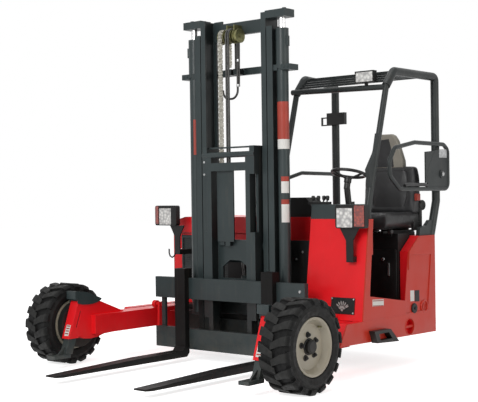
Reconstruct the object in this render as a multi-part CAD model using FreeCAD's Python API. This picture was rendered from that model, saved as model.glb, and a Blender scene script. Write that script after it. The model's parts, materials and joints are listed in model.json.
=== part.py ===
import FreeCAD, Part
import math
import os

os.makedirs("parts", exist_ok=True)

# Truck-mounted forklift: a three-wheeled straddle truck whose mast slides between two front legs.
# Millimetres. X runs forward to the fork tips, Y to the machine's left, Z up from the floor.
# Lengths along X are measured from the front axle; export() moves them so that the origin is
# on the floor under the middle of the whole machine.

V = FreeCAD.Vector
Y_AXIS = V(0, 1, 0)
LEFT = 1
RIGHT = -1
SIDES = (("left", LEFT), ("right", RIGHT))

# Driving dimensions
TYRE_DIAMETER = 584.0
TYRE_WIDTH = 235.0
TREAD_DEPTH = 15.0
TRACK_HALF = 1084.0
REAR_WHEEL_X = -1352.0
RIM_RADIUS = 181.0
BODY_REAR_X = -1686.0
BODY_SIDE_Y = 1040.0
BODY_BOTTOM_Z = 212.0
SHEET = 6.0
PLATE = 12.0

LEG_INNER_Y = 800.0
LEG_TYRE_GAP = 22.5
LEG_BOTTOM_Z = 224.0
LEG_TOP_Z = 360.0
LEG_END_X = -40.0
LEG_REAR_X = -995.0
FRONT_FOOT_Z = 362.0

MAST_FRONT_X = -665.0
RAIL_DEPTH = 140.0
FLANGE = 16.0
OUTER_RAIL_INNER_Y = 313.0
OUTER_RAIL_OUTER_Y = 364.0
INNER_RAIL_INNER_Y = 263.0
INNER_RAIL_OUTER_Y = 306.0
OUTER_BOTTOM_Z = 110.0
OUTER_TOP_Z = 2390.0
INNER_BOTTOM_Z = 170.0
INNER_TOP_Z = 2492.0
TILT_PIVOT_X = -735.0
TILT_PIVOT_Z = 250.0
LIFT_CYLINDER_X = -717.0
LIFT_CYLINDER_Y = 414.0

CARRIAGE_FRONT_X = -557.0
BAR_THICKNESS = 40.0
BAR_HALF_WIDTH = 700.0
UPPER_BAR_Z = (458.0, 612.0)
LOWER_BAR_Z = (91.0, 241.0)
UPRIGHT_Y = 181.0
UPRIGHT_HALF = 20.0
UPRIGHT_TOP_Z = 1518.0
FORK_Y = 409.0
FORK_WIDTH = 100.0
FORK_THICKNESS = 45.0
FORK_LENGTH = 1266.0
FORK_BOTTOM_Z = 38.0
FORK_TOP_Z = 682.0

GUARD_TOP_Z = 2090.0
GUARD_TUBE = 30.0
GUARD_LEG_TUBE = 21.0
GUARD_OUTER_Y = 1008.0
GUARD_INNER_Y = 210.0
GUARD_INNER_REAR_Y = 118.0
GUARD_REAR_X = -1764.0
GUARD_FRONT_X = -1206.0
RESTRAINT_PIVOT_X = -1731.0
RESTRAINT_PIVOT_Z = 1347.0
RESTRAINT_Y = 1070.0
RESTRAINT_TUBE = 15.0
RESTRAINT_REAR_X = -1845.0

SEAT_Y = 733.0
STEERING_WHEEL = (-1070.0, 715.0, 1355.0)

FORK_TIP_X = CARRIAGE_FRONT_X + FORK_LENGTH
ORIGIN_X = (FORK_TIP_X + RESTRAINT_REAR_X) / 2
TYRE_RADIUS = TYRE_DIAMETER / 2
LEG_OUTER_Y = TRACK_HALF - TYRE_WIDTH / 2 - LEG_TYRE_GAP
RAIL_REAR_X = MAST_FRONT_X - RAIL_DEPTH
RAIL_MID_X = MAST_FRONT_X - RAIL_DEPTH / 2
RUNNING_GAP = 0.05
ROLLER_GAP = 0.1
ROLLER_RADIUS = RAIL_DEPTH / 2 - FLANGE - ROLLER_GAP


def box(x_range, y_range, z_range):
    """Box between two limits along each axis, given in any order."""
    low = [min(pair) for pair in (x_range, y_range, z_range)]
    size = [abs(pair[1] - pair[0]) for pair in (x_range, y_range, z_range)]
    return Part.makeBox(*size, V(*low))


def side_box(side, x_range, y_range, z_range):
    """Box given for the left side and mirrored by side -1."""
    return box(x_range, [side * y for y in y_range], z_range)


def rod(start, end, radius):
    """Round bar between two points."""
    a, b = V(*start), V(*end)
    return Part.makeCylinder(radius, (b - a).Length, a, b - a)


def cross_rod(x, z, y_range, radius):
    """Round bar along Y at a place in the X Z plane."""
    return rod((x, min(y_range), z), (x, max(y_range), z), radius)


def pipe(start, end, radius, bore):
    """Round tube between two points."""
    return rod(start, end, radius).cut(rod(start, end, bore))


def plate(points, step):
    """Plate from a closed outline of points, pushed along a step."""
    points = [V(*p) for p in points]
    return Part.Face(Part.makePolygon(points + points[:1])).extrude(V(*step))


def plate_xz(outline, y_range):
    """Plate with an outline of (x, z) points, thick along Y."""
    low, high = sorted(y_range)
    return plate([(x, low, z) for x, z in outline], (0, high - low, 0))


def plate_xy(outline, z_range):
    """Plate with an outline of (x, y) points, thick along Z."""
    low, high = sorted(z_range)
    return plate([(x, y, low) for x, y in outline], (0, 0, high - low))


def plate_yz(outline, x_range):
    """Plate with an outline of (y, z) points, thick along X."""
    low, high = sorted(x_range)
    return plate([(low, y, z) for y, z in outline], (high - low, 0, 0))


def centre_line(points, bend):
    """Wire through the points, each corner rounded by a tangent arc of the bend radius."""
    points = [V(*p) for p in points]
    edges = []
    last = points[0]
    for before, corner, after in zip(points, points[1:], points[2:]):
        arrive = (corner - before).normalize()
        leave = (after - corner).normalize()
        turn = arrive.getAngle(leave)
        trim = bend * math.tan(turn / 2)
        first = corner - arrive * trim
        second = corner + leave * trim
        inward = (leave - arrive).normalize()
        middle = corner + inward * (bend / math.cos(turn / 2) - bend)
        edges.append(Part.LineSegment(last, first).toShape())
        edges.append(Part.Arc(first, middle, second).toShape())
        last = second
    edges.append(Part.LineSegment(last, points[-1]).toShape())
    return Part.Wire(edges)


def bent_tube(points, radius, bend):
    """Round tube swept along a rounded centre line, as a solid."""
    wire = centre_line(points, bend)
    start, towards = V(*points[0]), V(*points[1])
    ring = Part.Wire(Part.makeCircle(radius, start, towards - start))
    return wire.makePipeShell([ring], True, False)


def fuse(shapes):
    """All shapes as one, with needless seams removed."""
    shapes = list(shapes)
    if len(shapes) == 1:
        return shapes[0]
    return shapes[0].fuse(shapes[1:]).removeSplitter()


def group(shapes):
    """Separate like pieces that share one node."""
    return Part.makeCompound(list(shapes))


def revolve_y(profile, centre):
    """Turned part: (radius, offset along Y) points revolved about the Y axis at a centre."""
    points = [V(centre[0] + r, centre[1] + y, centre[2]) for r, y in profile]
    face = Part.Face(Part.makePolygon(points + points[:1]))
    return face.revolve(V(*centre), Y_AXIS, 360)


def export(name, shape):
    """Write one node, moved so that the origin is under the middle of the machine."""
    moved = shape.copy()
    moved.translate(V(-ORIGIN_X, 0, 0))
    moved.exportStep("parts/%s.step" % name)


# ---------------------------------------------------------------- wheels

WHEELS = (
    ("front_left", (0.0, TRACK_HALF, TYRE_RADIUS), LEFT),
    ("front_right", (0.0, -TRACK_HALF, TYRE_RADIUS), RIGHT),
    ("rear", (REAR_WHEEL_X, 0.0, TYRE_RADIUS), LEFT),
)
HALF_TYRE = TYRE_WIDTH / 2
BEAD_RADIUS = RIM_RADIUS - 10.0
BEAD_HALF = HALF_TYRE - 24.0
LUGS = 18
LUG_LEAN = 21.0
AXLE_RADIUS = 30.0
DISC_OFFSET = 48.0
DISC_THICK = 12.0
BOLT_CIRCLE = 74.0
HUB_RADIUS = 44.0
STUD_HOLE = 16.0
FLANGE_RADIUS = 110.0
FLANGE_THICK = 16.0


def tyre_body(tread, shoulder):
    """Turned tyre of a tread radius whose shoulders stand out to a half width."""
    side = [
        (BEAD_RADIUS, BEAD_HALF), (RIM_RADIUS + 2, BEAD_HALF), (RIM_RADIUS + 8, HALF_TYRE - 9),
        (tread - 50, HALF_TYRE - 2), (tread - 22, shoulder), (tread, shoulder - 18),
    ]
    profile = side + [(r, -y) for r, y in reversed(side)]
    return revolve_y(profile, (0, 0, 0))


def lug(row):
    """One slanting bar of the tread, from past the middle out over the shoulder."""
    low, high = TYRE_RADIUS - TREAD_DEPTH - 24, TYRE_RADIUS + 6
    outline = [
        (-20.0 + LUG_LEAN, -8.0), (20.0 + LUG_LEAN, -8.0), (27.0 - LUG_LEAN / 2, 62.0),
        (27.0 - LUG_LEAN, HALF_TYRE + 1), (-29.0 - LUG_LEAN, HALF_TYRE + 1), (-25.0 - LUG_LEAN / 2, 62.0),
    ]
    bar = plate_xy([(x, row * y) for x, y in outline], (low, high))
    if row < 0:
        bar.rotate(V(0, 0, 0), Y_AXIS, 180.0 / LUGS)
    return bar


def tyre():
    """Skid-steer tyre: carcass with two staggered rows of slanting lugs."""
    bars = []
    for row in (1, -1):
        for step in range(LUGS):
            bar = lug(row)
            bar.rotate(V(0, 0, 0), Y_AXIS, 360.0 * step / LUGS)
            bars.append(bar)
    outside = tyre_body(TYRE_RADIUS, HALF_TYRE - 1)
    lugs = outside.common(group(bars))
    return tyre_body(TYRE_RADIUS - TREAD_DEPTH, HALF_TYRE - 9).fuse(lugs)


def rim(centre, side):
    """Deep dished rim with its bolted disc set inwards and a lip over the tyre's bead."""
    outer = side * (HALF_TYRE - 14.0)
    lip = side * (BEAD_HALF + RUNNING_GAP)
    disc = side * DISC_OFFSET
    barrel = BEAD_RADIUS - 14.0
    face = disc + side * DISC_THICK
    profile = [
        (RIM_RADIUS, lip), (RIM_RADIUS, outer), (BEAD_RADIUS - 4, outer), (barrel, outer - side * 12),
        (barrel - 10, face + side * 14), (barrel - 18, face), (HUB_RADIUS + 3, face), (HUB_RADIUS + 3, disc),
        (barrel - 18, disc), (barrel - 4, -outer), (RIM_RADIUS, -outer), (RIM_RADIUS, -lip),
        (BEAD_RADIUS, -lip), (BEAD_RADIUS, lip),
    ]
    ring = revolve_y(profile, centre)
    holes = []
    for step in range(5):
        angle = 2 * math.pi * (step + 0.15) / 5
        x = centre[0] + BOLT_CIRCLE * math.cos(angle)
        z = centre[2] + BOLT_CIRCLE * math.sin(angle)
        holes.append(cross_rod(x, z, (centre[1] + disc - 30, centre[1] + disc + 50), STUD_HOLE))
    return ring.cut(group(holes))


def hub(centre, side):
    """Hub flange behind the rim's disc with its centre boss coming out through it."""
    disc = side * DISC_OFFSET
    bore = AXLE_RADIUS + RUNNING_GAP
    profile = [
        (0.0, disc + side * 48), (HUB_RADIUS - 10, disc + side * 48), (HUB_RADIUS, disc + side * 38),
        (HUB_RADIUS, disc), (FLANGE_RADIUS, disc), (FLANGE_RADIUS, disc - side * FLANGE_THICK),
        (bore, disc - side * FLANGE_THICK), (bore, disc + side * 24), (0.0, disc + side * 24),
    ]
    return revolve_y(profile, centre)


def rear_hub(centre):
    """Hub of the steered wheel, running on the axle between the cheeks."""
    bore = AXLE_RADIUS + RUNNING_GAP
    ends = 90.0
    profile = [
        (bore, -ends), (bore, ends), (HUB_RADIUS - 2, ends), (HUB_RADIUS - 2, DISC_OFFSET),
        (FLANGE_RADIUS, DISC_OFFSET), (FLANGE_RADIUS, DISC_OFFSET - FLANGE_THICK),
        (HUB_RADIUS + 14, DISC_OFFSET - FLANGE_THICK), (HUB_RADIUS, -ends),
    ]
    return revolve_y(profile, centre)


ONE_TYRE = tyre()
for name, centre, side in WHEELS:
    placed = ONE_TYRE.copy()
    placed.translate(V(*centre))
    export(name + "_tyre", placed)
    export(name + "_rim", rim(centre, side))
    export(name + "_hub", rear_hub(centre) if name == "rear" else hub(centre, side))


# ---------------------------------------------------------------- chassis

JACK_LEAN = 19.0
JACK_HALF = 30.0
SLEEVE_WALL = 10.0
SLEEVE_Z = (206.0, 470.0)
TOWER_INNER_Y = 845.0
TOWER_OUTER_Y = TOWER_INNER_Y + 2 * (JACK_HALF + SLEEVE_WALL)
JACK_Y = (TOWER_INNER_Y + TOWER_OUTER_Y) / 2
JACK_AXIS_X = 97.0
JACK_AXIS_Z = 300.0
SLEEVE_HALF = JACK_HALF + SLEEVE_WALL
DRUM_RADIUS = 166.0


def lean(shape):
    """Tilt a shape made upright so that its lower end points forward along the jack's axis."""
    shape.rotate(V(JACK_AXIS_X, 0, JACK_AXIS_Z), Y_AXIS, -JACK_LEAN)
    return shape


def square_bar(side, half, z_range):
    """Square bar along the jack's axis, given by its distances above the axis point."""
    x_range = (JACK_AXIS_X - half, JACK_AXIS_X + half)
    heights = [JACK_AXIS_Z + z for z in z_range]
    return lean(side_box(side, x_range, (JACK_Y - half, JACK_Y + half), heights))


def jack_sleeve(side):
    """Leaning square sleeve of the stabiliser jack at the front end of the leg."""
    bar = square_bar(side, SLEEVE_HALF, (-140.0, 200.0))
    bar = bar.common(side_box(side, (-200, 400), (LEG_INNER_Y, LEG_OUTER_Y + 50), SLEEVE_Z))
    return bar


def leg(side):
    """Front leg: closed beam that the mast's rollers run along, and the tower over the wheel motor."""
    beam = side_box(side, (LEG_REAR_X, LEG_END_X), (LEG_INNER_Y, LEG_OUTER_Y), (LEG_BOTTOM_Z, LEG_TOP_Z))
    outline = [
        (-440.0, LEG_BOTTOM_Z), (-342.0, 221.0), (-161.0, 212.0), (-100.0, 196.0), (-30.0, 190.0),
        (33.0, 196.0), (90.0, 219.0), (112.0, 230.0), (25.0, SLEEVE_Z[1]), (-100.0, SLEEVE_Z[1] - 6),
        (-134.0, 452.0), (-381.0, 354.0), (-440.0, LEG_TOP_Z - 10),
    ]
    tower = plate_xz(outline, (side * TOWER_INNER_Y, side * TOWER_OUTER_Y))
    groove = plate_xz(
        [(58.0, 398.0), (66.0, 398.0), (107.0, 282.0), (99.0, 282.0)],
        (side * (TOWER_INNER_Y - 1), side * (TOWER_INNER_Y + 5)))
    bore = square_bar(side, JACK_HALF + RUNNING_GAP, (-160.0, 150.0))
    return fuse([beam, tower, jack_sleeve(side)]).cut(group([groove, bore]))


def leg_cap(side):
    """Grey cap over the tower, its lower edge a wide arc on both sides."""
    inner, outer = TOWER_INNER_Y - 7, TOWER_OUTER_Y + 7
    top_front, top_rear = (96.0, 540.0), (-138.0, 474.0)
    edge = [(116.0, 540.0), (116.0, 484.0)]
    for step in range(7):
        angle = math.radians(195 + 150 * step / 6)
        edge.append((-10.0 - 126.0 * math.cos(angle), 474.0 + 36.0 * math.sin(angle)))
    outline = edge + [top_rear, (-92.0, 492.0), (0.0, 528.0), top_front]
    cap = plate_xz(outline, (side * inner, side * outer))
    room_y = (TOWER_INNER_Y - RUNNING_GAP, TOWER_OUTER_Y + RUNNING_GAP)
    room = side_box(side, (-200, 200), room_y, (400, SLEEVE_Z[1] + RUNNING_GAP))
    front = side_box(side, (90, 130), (inner - 1, outer + 1), (400, 483))
    drum = cross_rod(0, TYRE_RADIUS, (side * (TOWER_OUTER_Y - 1), side * (outer + 1)),
                     DRUM_RADIUS + RUNNING_GAP)
    return cap.cut(room).cut(front).cut(drum)


def drive_motor(side):
    """Wheel motor: round drum behind the tower and the shaft end in the wheel's hub."""
    disc_face = TRACK_HALF + DISC_OFFSET - FLANGE_THICK
    drum_end = TRACK_HALF - HALF_TYRE + 8
    parts = [
        cross_rod(0, TYRE_RADIUS, (side * TOWER_OUTER_Y, side * drum_end), DRUM_RADIUS),
        cross_rod(0, TYRE_RADIUS, (side * TOWER_OUTER_Y, side * (disc_face - 8)), 92.0),
        cross_rod(0, TYRE_RADIUS, (side * TOWER_OUTER_Y, side * (disc_face + 36)), AXLE_RADIUS),
    ]
    beam_end = side_box(side, (LEG_REAR_X, LEG_END_X + 1), (LEG_INNER_Y, LEG_OUTER_Y + 1),
                        (LEG_BOTTOM_Z, LEG_TOP_Z))
    return fuse(parts).cut(beam_end)


def jack(side):
    """Stabiliser jack: square leg that slides down out of the sleeve, and its flat foot."""
    foot_low, foot_high = 74.0, 98.0
    bar = square_bar(side, JACK_HALF, (-260.0, 100.0))
    bar = bar.common(side_box(side, (-200, 500), (JACK_Y - 50, JACK_Y + 50), (foot_high - 2, 480)))
    foot = side_box(side, (160, 308), (JACK_Y - 41, JACK_Y + 41), (foot_low, foot_high))
    web = [(150.0, foot_high - 1), (250.0, foot_high - 1), (190.0, 150.0), (130.0, 150.0)]
    gusset = plate_xz(web, (side * (JACK_Y - 8), side * (JACK_Y + 8)))
    return fuse([bar, foot, gusset])


for side_name, side in SIDES:
    export(side_name + "_leg", leg(side))
    export(side_name + "_stabiliser", jack(side))
export("leg_caps", group(leg_cap(side) for _, side in SIDES))
export("drive_motors", group(drive_motor(side) for _, side in SIDES))

ARCH_HALF = 345.0
ARCH_TOP_Z = 700.0
ARCH_FRONT_X = REAR_WHEEL_X + ARCH_HALF
BRIDGE_TOP_Z = ARCH_TOP_Z + 30.0
BEAM_SIDE_Y = (LEG_INNER_Y - 60, LEG_OUTER_Y + 20)


def rear_frame():
    """Rear weldment: side beams that carry the legs, and the bridge over the steered wheel."""
    low = (BODY_BOTTOM_Z, FRONT_FOOT_Z)
    parts = [
        box((ARCH_FRONT_X, LEG_REAR_X), (-LEG_OUTER_Y, LEG_OUTER_Y), low),
        box((BODY_REAR_X, LEG_REAR_X), (-ARCH_HALF - PLATE, ARCH_HALF + PLATE), (ARCH_TOP_Z, BRIDGE_TOP_Z)),
        box((ARCH_FRONT_X, LEG_REAR_X), (-ARCH_HALF, ARCH_HALF), (FRONT_FOOT_Z, ARCH_TOP_Z)),
        rod((REAR_WHEEL_X, 0, ARCH_TOP_Z - 62), (REAR_WHEEL_X, 0, ARCH_TOP_Z + 1), 45.0),
    ]
    for _, side in SIDES:
        wall_y = (ARCH_HALF, ARCH_HALF + PLATE)
        tie_y = (ARCH_HALF + PLATE, LEG_INNER_Y)
        parts.append(side_box(side, (BODY_REAR_X, LEG_REAR_X), BEAM_SIDE_Y, low))
        parts.append(side_box(side, (BODY_REAR_X, LEG_REAR_X), wall_y, (BODY_BOTTOM_Z, ARCH_TOP_Z)))
        parts.append(side_box(side, (BODY_REAR_X, BODY_REAR_X + 60), tie_y, low))
    return fuse(parts)


LASHING_X = -1327.0
LASHING_Z = 273.0
LASHING_RADIUS = 54.0


def skirt(side):
    """Lower outer skirt of the chassis with its round recess and bar for the lashing chain."""
    inner = LEG_OUTER_Y + 20
    outline = [
        (-479.0, LEG_BOTTOM_Z), (-560.0, FRONT_FOOT_Z), (BODY_REAR_X, FRONT_FOOT_Z), (BODY_REAR_X, 204.0),
    ]
    panel = plate_xz(outline, (side * inner, side * BODY_SIDE_Y))
    dish = cross_rod(LASHING_X, LASHING_Z, (side * (BODY_SIDE_Y - 40), side * (BODY_SIDE_Y + 1)),
                     LASHING_RADIUS)
    bar_y = side * (BODY_SIDE_Y - 18)
    ends = (LASHING_X - LASHING_RADIUS - 6, LASHING_X + LASHING_RADIUS + 6)
    bar = rod((ends[0], bar_y, LASHING_Z), (ends[1], bar_y, LASHING_Z), 12.0)
    return panel.cut(dish).fuse(bar)


export("rear_frame", rear_frame())
export("side_skirts", group(skirt(side) for _, side in SIDES))

# ---------------------------------------------------------------- operator's module

FRONT_TOP_X = -829.0
FRONT_FOOT_X = -743.0
PANEL_TOP_Z = 1040.0
MODULE_INNER_Y = 558.0
CHEEK_REAR_X = -905.0
ENTRY_FRONT_X = -829.0
ENTRY_REAR_X = -1306.0
SIDE_STRIP = 53.0
DECK_Z = 905.0
DECK_INNER_Y = 340.0
SEAT_BOX_Z = 825.0
RECESS_OUTLINE = [(-1340.0, 778.0), (-1630.0, 767.0), (-1578.0, 344.0 + 26), (-1277.0, 361.0 + 9)]


def front_x(z):
    """X of the sloping front panel at a height."""
    share = (z - FRONT_FOOT_Z) / (PANEL_TOP_Z - FRONT_FOOT_Z)
    return FRONT_FOOT_X + share * (FRONT_TOP_X - FRONT_FOOT_X)


def front_panel():
    """Sloping front panel of the operator's module."""
    outline = [
        (FRONT_FOOT_X, FRONT_FOOT_Z), (FRONT_TOP_X, PANEL_TOP_Z),
        (FRONT_TOP_X - SHEET, PANEL_TOP_Z), (FRONT_FOOT_X - SHEET, FRONT_FOOT_Z),
    ]
    return plate_xz(outline, (MODULE_INNER_Y, BODY_SIDE_Y))


def outer_side():
    """Outer side of the module with the entry cut out and the rear column's recessed door."""
    inside = BODY_SIDE_Y - SHEET
    outline = [
        (FRONT_FOOT_X - SHEET, FRONT_FOOT_Z), (FRONT_TOP_X - SHEET, PANEL_TOP_Z),
        (FRONT_TOP_X - SIDE_STRIP, PANEL_TOP_Z), (ENTRY_FRONT_X, 524.0), (ENTRY_REAR_X + 27, 458.0),
        (ENTRY_REAR_X, 458.0), (ENTRY_REAR_X - 28, 800.0), (ENTRY_REAR_X - 163, DECK_Z),
        (BODY_REAR_X, DECK_Z), (BODY_REAR_X, FRONT_FOOT_Z),
    ]
    side = plate_xz(outline, (inside, BODY_SIDE_Y))
    side = side.cut(plate_xz(RECESS_OUTLINE, (inside - 1, BODY_SIDE_Y + 1)))
    middle_x = sum(x for x, _ in RECESS_OUTLINE) / 4
    grown = [(x + math.copysign(14, x - middle_x), z + math.copysign(6, z - 570)) for x, z in RECESS_OUTLINE]
    return side.fuse(plate_xz(grown, (inside - SHEET, inside)))


def operator_body():
    """Open-topped operator's module: floor, outer side with the entry, rear column and walls."""
    inside = BODY_SIDE_Y - SHEET
    rear = BODY_REAR_X
    inner = ARCH_HALF + PLATE
    column_y = 966.0
    floor = box((CHEEK_REAR_X, rear), (inner, inside), (FRONT_FOOT_Z, FRONT_FOOT_Z + SHEET))
    front_floor = box((FRONT_FOOT_X - SHEET - 12, CHEEK_REAR_X), (MODULE_INNER_Y, inside),
                      (FRONT_FOOT_Z, FRONT_FOOT_Z + SHEET))
    cheek = [
        (FRONT_FOOT_X - SHEET, FRONT_FOOT_Z), (FRONT_TOP_X - SHEET, PANEL_TOP_Z),
        (CHEEK_REAR_X, PANEL_TOP_Z), (CHEEK_REAR_X, FRONT_FOOT_Z),
    ]
    parts = [
        outer_side(), floor, front_floor,
        plate_xz(cheek, (MODULE_INNER_Y, MODULE_INNER_Y + SHEET)),
        box((rear, rear + SHEET), (inner, inside), (FRONT_FOOT_Z, DECK_Z)),
        box((rear, rear + SHEET), (DECK_INNER_Y, inner + 1), (BRIDGE_TOP_Z, DECK_Z)),
        box((ENTRY_REAR_X - 28, ENTRY_REAR_X - 28 + SHEET), (column_y, inside), (FRONT_FOOT_Z, 800.0)),
        plate_xz([(ENTRY_REAR_X - 28, 794.0), (ENTRY_REAR_X - 28, 800.0), (ENTRY_REAR_X - 163, DECK_Z),
                  (ENTRY_REAR_X - 163, DECK_Z - SHEET - 2)], (column_y, inside)),
        box((rear, ENTRY_REAR_X - 163), (DECK_INNER_Y, inside), (DECK_Z - SHEET, DECK_Z)),
        box((rear, ENTRY_REAR_X - 28), (column_y, column_y + SHEET), (FRONT_FOOT_Z, 800.0)),
        plate_xz([(ENTRY_REAR_X - 28, 799.0), (ENTRY_REAR_X - 163, DECK_Z), (rear, DECK_Z), (rear, 799.0)],
                 (column_y, column_y + SHEET)),
        box((rear, CHEEK_REAR_X), (inner, inner + SHEET), (FRONT_FOOT_Z, SEAT_BOX_Z - SHEET)),
        box((rear, rear + 160), (DECK_INNER_Y, DECK_INNER_Y + SHEET), (BRIDGE_TOP_Z, DECK_Z)),
        box((FRONT_TOP_X - 52, FRONT_TOP_X - 7), (985.0, inside), (800.0, PANEL_TOP_Z)),
    ]
    return fuse(parts)


DASH_TOP_Z = 1140.0
DASH_OUTER_Y = 975.0


def dash():
    """Grey dash across the top of the front panel."""
    outline = [
        (FRONT_TOP_X, PANEL_TOP_Z), (FRONT_TOP_X - 13, DASH_TOP_Z), (FRONT_TOP_X - 130, DASH_TOP_Z),
        (FRONT_TOP_X - 130, DASH_TOP_Z - 30), (FRONT_TOP_X - 60, DASH_TOP_Z - 50),
        (FRONT_TOP_X - 60, PANEL_TOP_Z),
    ]
    return plate_xz(outline, (MODULE_INNER_Y, DASH_OUTER_Y))


CONSOLE_TOP_Z = 1090.0
CONSOLE_X = (-925.0, -1120.0)
CONSOLE_Y = (610.0, 800.0)
BULKHEAD_X = CHEEK_REAR_X + 8
BULKHEAD_Z = 885.0
COLUMN_Y = (160.0, 270.0)
COLUMN_TOP_Z = 1110.0
COVER_X = (-1135.0, -1290.0)


def console():
    """Black pieces inside: column box, bulkhead, guard's foot column and the hydraulic cover."""
    column_box = box(CONSOLE_X, CONSOLE_Y, (FRONT_FOOT_Z + SHEET, CONSOLE_TOP_Z))
    wall = box((BULKHEAD_X, BULKHEAD_X - 8), (COLUMN_Y[1] - 1, MODULE_INNER_Y), (FRONT_FOOT_Z, BULKHEAD_Z))
    column = box((-884.0, -950.0), COLUMN_Y, (FRONT_FOOT_Z, COLUMN_TOP_Z))
    brace = box((LEG_REAR_X, -949.0), (COLUMN_Y[0], COLUMN_Y[1]), (FRONT_FOOT_Z, FRONT_FOOT_Z + 90))
    cover = plate_yz([(20.0, ENGINE_TOP_Z), (20.0, 1189.0), (289.0, 1189.0), (336.0, 1125.0),
                      (336.0, ENGINE_TOP_Z)],
                     COVER_X)
    return group([column_box, fuse([wall, column, brace]), cover])


ENGINE_FRONT_X = -1115.0
ENGINE_TOP_Z = 1045.0
ENGINE_SEAM_Z = 912.0
ENGINE_OUTER_Y = -1038.0
ENGINE_INNER_Y = 336.0
HOOD_INNER_Y = -30.0
HOOD_GAP = 6.0
HOOD_WALL = 4.0
HOOD_SLOPE_Y = 130.0
HOOD_SLOPE_Z = 34.0
HOOD_HINGE_X = BODY_REAR_X - 20.0
HOOD_HINGE_Z = ENGINE_SEAM_Z + 20.0
HOOD_HINGE_Y = (-860.0, -180.0)
PIN_RADIUS = 5.0
KNUCKLE_RADIUS = 9.0


def hood_section(wall):
    """Outline of the hood across the machine, drawn in by a wall thickness."""
    low = ENGINE_SEAM_Z + HOOD_GAP - wall
    top = ENGINE_TOP_Z - wall
    outer = ENGINE_OUTER_Y + wall
    inner = HOOD_INNER_Y - HOOD_GAP - wall
    return [(outer, low), (outer, top - HOOD_SLOPE_Z), (outer + HOOD_SLOPE_Y, top), (inner, top),
            (inner, low)]


def engine_cowl():
    """Engine housing: box on the right, and the part that crosses over the steered wheel."""
    x_range = (BODY_REAR_X, ENGINE_FRONT_X)
    upper = box(x_range, (ENGINE_OUTER_Y, ENGINE_INNER_Y), (BRIDGE_TOP_Z, ENGINE_SEAM_Z))
    lower = box(x_range, (ENGINE_OUTER_Y, -ARCH_HALF - PLATE), (FRONT_FOOT_Z, BRIDGE_TOP_Z + 1))
    raised = box(x_range, (HOOD_INNER_Y, ENGINE_INNER_Y), (ENGINE_SEAM_Z - 1, ENGINE_TOP_Z))
    inside_x = (BODY_REAR_X + SHEET, ENGINE_FRONT_X - SHEET)
    rooms = [
        box(inside_x, (ENGINE_OUTER_Y + SHEET, ENGINE_INNER_Y - SHEET),
            (BRIDGE_TOP_Z + SHEET, ENGINE_SEAM_Z - SHEET)),
        box(inside_x, (ENGINE_OUTER_Y + SHEET, -ARCH_HALF - PLATE - SHEET),
            (FRONT_FOOT_Z + SHEET, ENGINE_SEAM_Z + 1)),
        box(inside_x, (HOOD_INNER_Y + SHEET, ENGINE_INNER_Y - SHEET),
            (BRIDGE_TOP_Z + SHEET, ENGINE_TOP_Z - SHEET)),
        box(inside_x, (-ARCH_HALF - PLATE - SHEET - 1, HOOD_INNER_Y - SHEET),
            (ENGINE_SEAM_Z - SHEET - 1, ENGINE_SEAM_Z + 1)),
    ]
    recess = box((ENGINE_FRONT_X + 1, ENGINE_FRONT_X - SHEET - 1), (ENGINE_OUTER_Y + 90, -400.0),
                 (430.0, ENGINE_SEAM_Z - 12))
    shell = fuse([upper, lower, raised]).cut(group(rooms)).cut(recess)
    flap = box((ENGINE_FRONT_X - SHEET, ENGINE_FRONT_X - 2 * SHEET), (ENGINE_OUTER_Y + 78, -388.0),
               (418.0, ENGINE_SEAM_Z))
    return shell.fuse(flap)


def engine_panel():
    """Grey cooler panel set into the housing's front wall."""
    return box((ENGINE_FRONT_X - SHEET, ENGINE_FRONT_X - 2), (ENGINE_OUTER_Y + 92, -402.0),
               (432.0, ENGINE_SEAM_Z - 14))


def engine_block():
    """Plain block of the engine in its real place."""
    return box((-1600.0, -1200.0), (-930.0, -440.0), (FRONT_FOOT_Z + SHEET, 880.0))


def engine_hood():
    """Tray-shaped hood over the engine, hinged along its rear edge."""
    room_x = (BODY_REAR_X + HOOD_WALL, ENGINE_FRONT_X - HOOD_WALL)
    shell = plate_yz(hood_section(0.0), (BODY_REAR_X, ENGINE_FRONT_X))
    shell = shell.cut(plate_yz(hood_section(HOOD_WALL), room_x))
    parts = [shell]
    bores = []
    for y in HOOD_HINGE_Y:
        barrel = cross_rod(HOOD_HINGE_X, HOOD_HINGE_Z, (y - 30, y + 30), KNUCKLE_RADIUS)
        strap = box((HOOD_HINGE_X, BODY_REAR_X + 4), (y - 30, y + 30),
                    (HOOD_HINGE_Z, HOOD_HINGE_Z + KNUCKLE_RADIUS))
        parts += [barrel, strap]
        bores.append(cross_rod(HOOD_HINGE_X, HOOD_HINGE_Z, (y - 31, y + 31), PIN_RADIUS + RUNNING_GAP))
    return fuse(parts).cut(group(bores))


def hood_hinge_pins():
    """Ears and pins on the engine housing's rear wall that carry the hood."""
    parts = []
    ear_x = (HOOD_HINGE_X - KNUCKLE_RADIUS, HOOD_HINGE_X + KNUCKLE_RADIUS)
    low_z = HOOD_HINGE_Z - 60
    for y in HOOD_HINGE_Y:
        for ear_y in ((y - 46, y - 36), (y + 36, y + 46)):
            parts.append(box((BODY_REAR_X, ear_x[0]), ear_y, (low_z, ENGINE_SEAM_Z - 2)))
            parts.append(box(ear_x, ear_y, (low_z, HOOD_HINGE_Z)))
            parts.append(cross_rod(HOOD_HINGE_X, HOOD_HINGE_Z, ear_y, KNUCKLE_RADIUS))
        parts.append(cross_rod(HOOD_HINGE_X, HOOD_HINGE_Z, (y - 42, y + 42), PIN_RADIUS))
    return parts


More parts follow.
